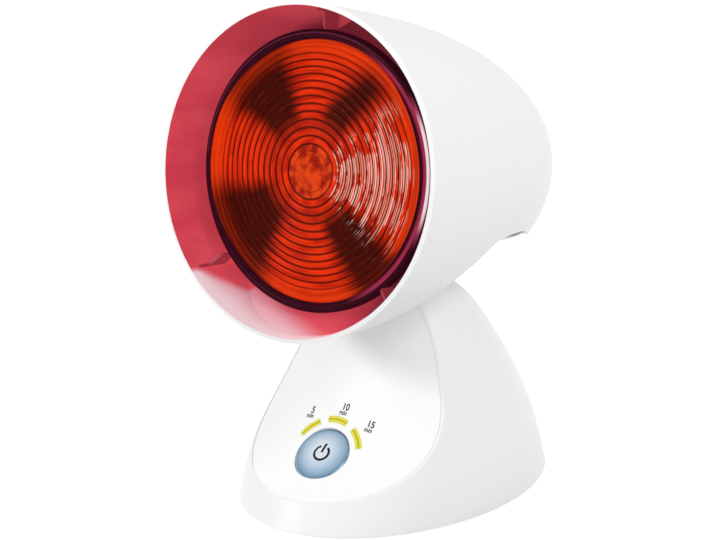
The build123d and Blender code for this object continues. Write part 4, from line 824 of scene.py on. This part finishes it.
def wrap_flat(mesh, surface, low, high):
    """Turns a flat drawing in millimetres into a thin skin that follows the surface."""
    flat = bmesh.new()
    flat.from_mesh(mesh)
    bmesh.ops.remove_doubles(flat, verts=flat.verts, dist=1e-4)
    bmesh.ops.triangulate(flat, faces=flat.faces)
    made = bmesh.new()
    top = [made.verts.new(lay_on(surface, v.co.x, v.co.y, high)) for v in flat.verts]
    bottom = [made.verts.new(lay_on(surface, v.co.x, v.co.y, low)) for v in flat.verts]
    for face in flat.faces:
        corners = [v.index for v in face.verts]
        made.faces.new([top[i] for i in corners])
        made.faces.new([bottom[i] for i in reversed(corners)])
    for edge in flat.edges:
        if len(edge.link_faces) == 1:
            one, other = (v.index for v in edge.verts)
            made.faces.new([top[one], top[other], bottom[other], bottom[one]])
    bmesh.ops.recalc_face_normals(made, faces=made.faces)
    result = bpy.data.meshes.new(mesh.name)
    made.to_mesh(result)
    flat.free()
    made.free()
    return result


def add_piece(name, mesh, body, finish):
    mesh.name = name
    piece = bpy.data.objects.new(name, mesh)
    bpy.context.scene.collection.objects.link(piece)
    mesh.materials.clear()
    mesh.materials.append(finish)
    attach(piece, body)
    return piece


# ---- The bulb's ribbed front ----
def ribbed_lens():
    """The domed front with its ribs, the plain band, the rounded ring and the back, as one closed shell."""
    sizes = {
        "ribs": LENS_RIBS, "rows in a rib": 8, "steps round": 240, "centre radius": LENS_CENTRE_RADIUS,
        "rib width": RIB_PITCH, "rib narrowing": RIB_SHRINK, "rib height": RIB_HEIGHT,
        "lens radius": LENS_RADIUS, "lens front": LENS_FRONT, "lens edge": LENS_EDGE,
        "lens thickness": LENS_THICKNESS, "lens seat": LENS_SEAT, "bulb radius": BULB_RADIUS,
        "ring front": RING_FRONT, "ring back": RING_BACK, "ring width": RING_WIDTH, "ring rounding": RING_ROUNDING,
    }
    shape = Shape("ribbed_lens", sizes)
    size = shape.size

    def dome(front, rise, edge, radius):
        """Station at this radius of a dome that falls back by the rise between its front and its edge."""
        sphere = (edge * edge + rise * rise) / (rise * 2.0)
        return front + sphere - shape.root(sphere * sphere - radius * radius)

    def face(radius):
        return dome(size("lens front"), size("lens edge") - size("lens front"), size("lens radius"), radius)

    def middle(share):
        radius = share * size("centre radius")
        return face(radius), radius

    def rib_row(count):
        narrowing = size("rib narrowing") / 2.0
        radius = size("centre radius") + (size("rib width") + narrowing) * count - narrowing * count * count
        across = shape.maths("FRACT", count + 0.0001)
        return face(radius) - across * (1 - across) * size("rib height") * 4.0, radius

    def ribs(share):
        return rib_row(share * size("ribs"))

    def path(*points):
        """A profile of straight lines through these places."""
        def profile(share):
            station, radius = points[0]
            for step, (one, other) in enumerate(zip(points, points[1:])):
                part = shape.kept(share * (len(points) - 1) - step)
                station = station + part * (other[0] - one[0])
                radius = radius + part * (other[1] - one[1])
            return station, radius
        return profile

    def crest(share):
        half = size("ring width") / 2.0
        rise = size("ring rounding")
        bend = (half * half + rise * rise) / (rise * 2.0)
        turn = (share * 2 - 1) * shape.maths("ARCSINE", half / bend)
        return size("ring front") + bend - bend * shape.wave(turn), ring_middle + bend * shape.maths("SINE", turn)

    def back(share):
        radius = back_edge * (1 - share)
        front = size("lens front") + size("lens thickness")
        return dome(front, size("ring back") - front, back_edge, radius), radius

    ring_middle = size("bulb radius") - size("ring width") / 2.0
    back_edge = size("lens radius") - size("lens seat")
    rounded = size("ring front") + size("ring rounding")
    ring_inside = size("bulb radius") - size("ring width")
    strips = [
        shape.sweep(5, middle),
        shape.sweep(size("ribs") * size("rows in a rib"), ribs),
        shape.sweep(2, path(rib_row(size("ribs")), (size("lens edge"), size("lens radius")), (rounded, ring_inside))),
        shape.sweep(8, crest),
        shape.sweep(2, path((rounded, size("bulb radius")), (size("ring back"), size("bulb radius")),
                            (size("ring back"), back_edge))),
        shape.sweep(8, back),
    ]
    return shape.mesh(strips, FINISHES["red_glass"])


lens_piece = add_piece("ribbed_lens", ribbed_lens(), "hood", FINISHES["red_glass"])
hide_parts("bulb_lens")

# ---- The printed numbers beside the timer lights ----
CAPITAL_SHARE = 0.70        # height of a capital letter as a share of the letter size
BOLDNESS = 0.035            # how far the outline grows, as a share of the height
NARROWNESS = 0.9
PRINT_LOW = -0.03           # the skin's underside and top, measured from the panel's surface
PRINT_HIGH = 0.04
NUMBER_HEIGHT = 3.6
FIRST_NUMBER_HEIGHT = 3.7
UNIT_HEIGHT = 2.6
TIMER_WORDS = [
    ("timer_number_5", "5", FIRST_NUMBER_HEIGHT, (-18.9, 23.6)),
    ("timer_unit_5", "min", UNIT_HEIGHT, (-19.5, 20.3)),
    ("timer_number_10", "10", NUMBER_HEIGHT, (2.0, 28.7)),
    ("timer_unit_10", "min", UNIT_HEIGHT, (1.4, 25.5)),
    ("timer_number_15", "15", NUMBER_HEIGHT, (20.4, 23.7)),
    ("timer_unit_15", "min", UNIT_HEIGHT, (20.0, 20.4)),
]


def flat_text(words, height, middle):
    """Lettering as a flat mesh, its capital height and middle given in the button's plane."""
    curve = bpy.data.curves.new("lettering", "FONT")
    curve.body = words
    curve.align_x = "CENTER"
    curve.align_y = "CENTER"
    curve.size = height / CAPITAL_SHARE
    curve.offset = height * BOLDNESS
    curve.resolution_u = 4
    holder = bpy.data.objects.new("lettering", curve)
    bpy.context.scene.collection.objects.link(holder)
    bpy.context.view_layer.update()
    mesh = bpy.data.meshes.new_from_object(holder.evaluated_get(bpy.context.evaluated_depsgraph_get()))
    bpy.data.objects.remove(holder)
    mesh.transform(Matrix.Translation((*middle, 0)) @ Matrix.Diagonal((NARROWNESS, 1, 1, 1)))
    return mesh


panel_ink = make_print_ink("panel_ink", PANEL_INK)
panel_surface = surface_of("front_panel")
for name, words, height, middle in TIMER_WORDS:
    lettering = wrap_flat(flat_text(words, height, middle), panel_surface, PRINT_LOW, PRINT_HIGH)
    add_piece(name, lettering, "base", panel_ink)

# ---- The power symbol on the button ----
SYMBOL_RADIUS = 4.3
SYMBOL_STROKE = 1.35
SYMBOL_SIDE = 1.0           # its middle lies this far right of the button's
SYMBOL_RISE = -0.2
SYMBOL_GAP = 30             # degrees to each side of the bar
BAR_LOW = 0.0
BAR_HIGH = 6.0
SYMBOL_LOW = -0.02          # the skin's underside and top, measured from the button's surface
SYMBOL_HIGH = 0.05


def add_rows(flat, rows):
    """Joins rows of three places with faces."""
    rows = [[flat.verts.new((*place, 0)) for place in row] for row in rows]
    for one, other in zip(rows, rows[1:]):
        for place in range(2):
            flat.faces.new((one[place], one[place + 1], other[place + 1], other[place]))


def symbol_outline():
    """An open ring with a bar through its gap, as flat faces in the button's plane."""
    half = SYMBOL_STROKE / 2
    ring_steps = 60
    ring = []
    for step in range(ring_steps + 1):
        turn = math.radians(90 + SYMBOL_GAP + (360 - 2 * SYMBOL_GAP) * step / ring_steps)
        radii = (SYMBOL_RADIUS - half, SYMBOL_RADIUS, SYMBOL_RADIUS + half)
        ring.append([(SYMBOL_SIDE + r * math.cos(turn), SYMBOL_RISE + r * math.sin(turn)) for r in radii])
    bar_steps = 10
    bar = []
    for step in range(bar_steps + 1):
        up = BAR_LOW + (BAR_HIGH - BAR_LOW) * step / bar_steps
        bar.append([(SYMBOL_SIDE + side, up) for side in (-half, 0, half)])
    flat = bmesh.new()
    add_rows(flat, ring)
    add_rows(flat, bar)
    mesh = bpy.data.meshes.new("power_symbol")
    flat.to_mesh(mesh)
    flat.free()
    return mesh


symbol_mesh = wrap_flat(symbol_outline(), surface_of("power_button"), SYMBOL_LOW, SYMBOL_HIGH)
add_piece("power_symbol", symbol_mesh, "button", make_print_ink("button_ink", BUTTON_INK))

# ---- Floor, sky and lamps, in metres and watts ----
FLOOR_REACH = 12.0
FLOOR_PAINT = (0.66, 0.66, 0.66, 1)
FLOOR_LIFT = 0.68           # light that the camera alone sees, so that the floor looks white
SKY_FILL = 0.74
WHITE = (1, 1, 1, 1)
LAMPS = [
    ("key_lamp", (-1.1, -2.0, 1.0), (0, 0, 0.10), 0.4, 17),
    ("top_lamp", (1.7, -0.35, 1.6), (0, 0, 0.14), 0.8, 14),
]


def make_floor():
    """A pale floor that keeps the lamp's shadow and is white to the camera."""
    finish = Finish("floor_paint")
    paint = finish.node("ShaderNodeBsdfDiffuse", None, {"Color": FLOOR_PAINT})
    lift = finish.node("ShaderNodeEmission", None, {"Color": WHITE, "Strength": finish.seen() * FLOOR_LIFT})
    finish.end_in(finish.node("ShaderNodeAddShader", None, (paint, lift)))
    mesh = bpy.data.meshes.new("floor")
    corners = [(x * FLOOR_REACH, y * FLOOR_REACH, 0) for x, y in ((-1, -1), (1, -1), (1, 1), (-1, 1))]
    mesh.from_pydata(corners, [], [(0, 1, 2, 3)])
    mesh.materials.append(finish.material)
    floor = bpy.data.objects.new("floor", mesh)
    bpy.context.scene.collection.objects.link(floor)


def make_sky():
    """An even fill light from all sides, white where the camera sees it."""
    sky = Sky("studio")
    fill = sky.node("ShaderNodeBackground", None, {"Color": WHITE, "Strength": SKY_FILL})
    white = sky.node("ShaderNodeBackground", None, {"Color": WHITE, "Strength": 1.0})
    sky.end_in(sky.node("ShaderNodeMixShader", None, (sky.seen(), fill, white)))
    bpy.context.scene.world = sky.world


def add_lamp(name, place, target, side, power):
    light = bpy.data.lights.new(name, "AREA")
    light.shape = "SQUARE"
    light.size = side
    light.energy = power
    lamp = bpy.data.objects.new(name, light)
    bpy.context.scene.collection.objects.link(lamp)
    lamp.location = place
    direction = Vector(target) - Vector(place)
    lamp.rotation_mode = "QUATERNION"
    lamp.rotation_quaternion = direction.to_track_quat("-Z", "Y")


make_floor()
make_sky()
for lamp in LAMPS:
    add_lamp(*lamp)
bpy.context.scene.view_settings.view_transform = "Standard"
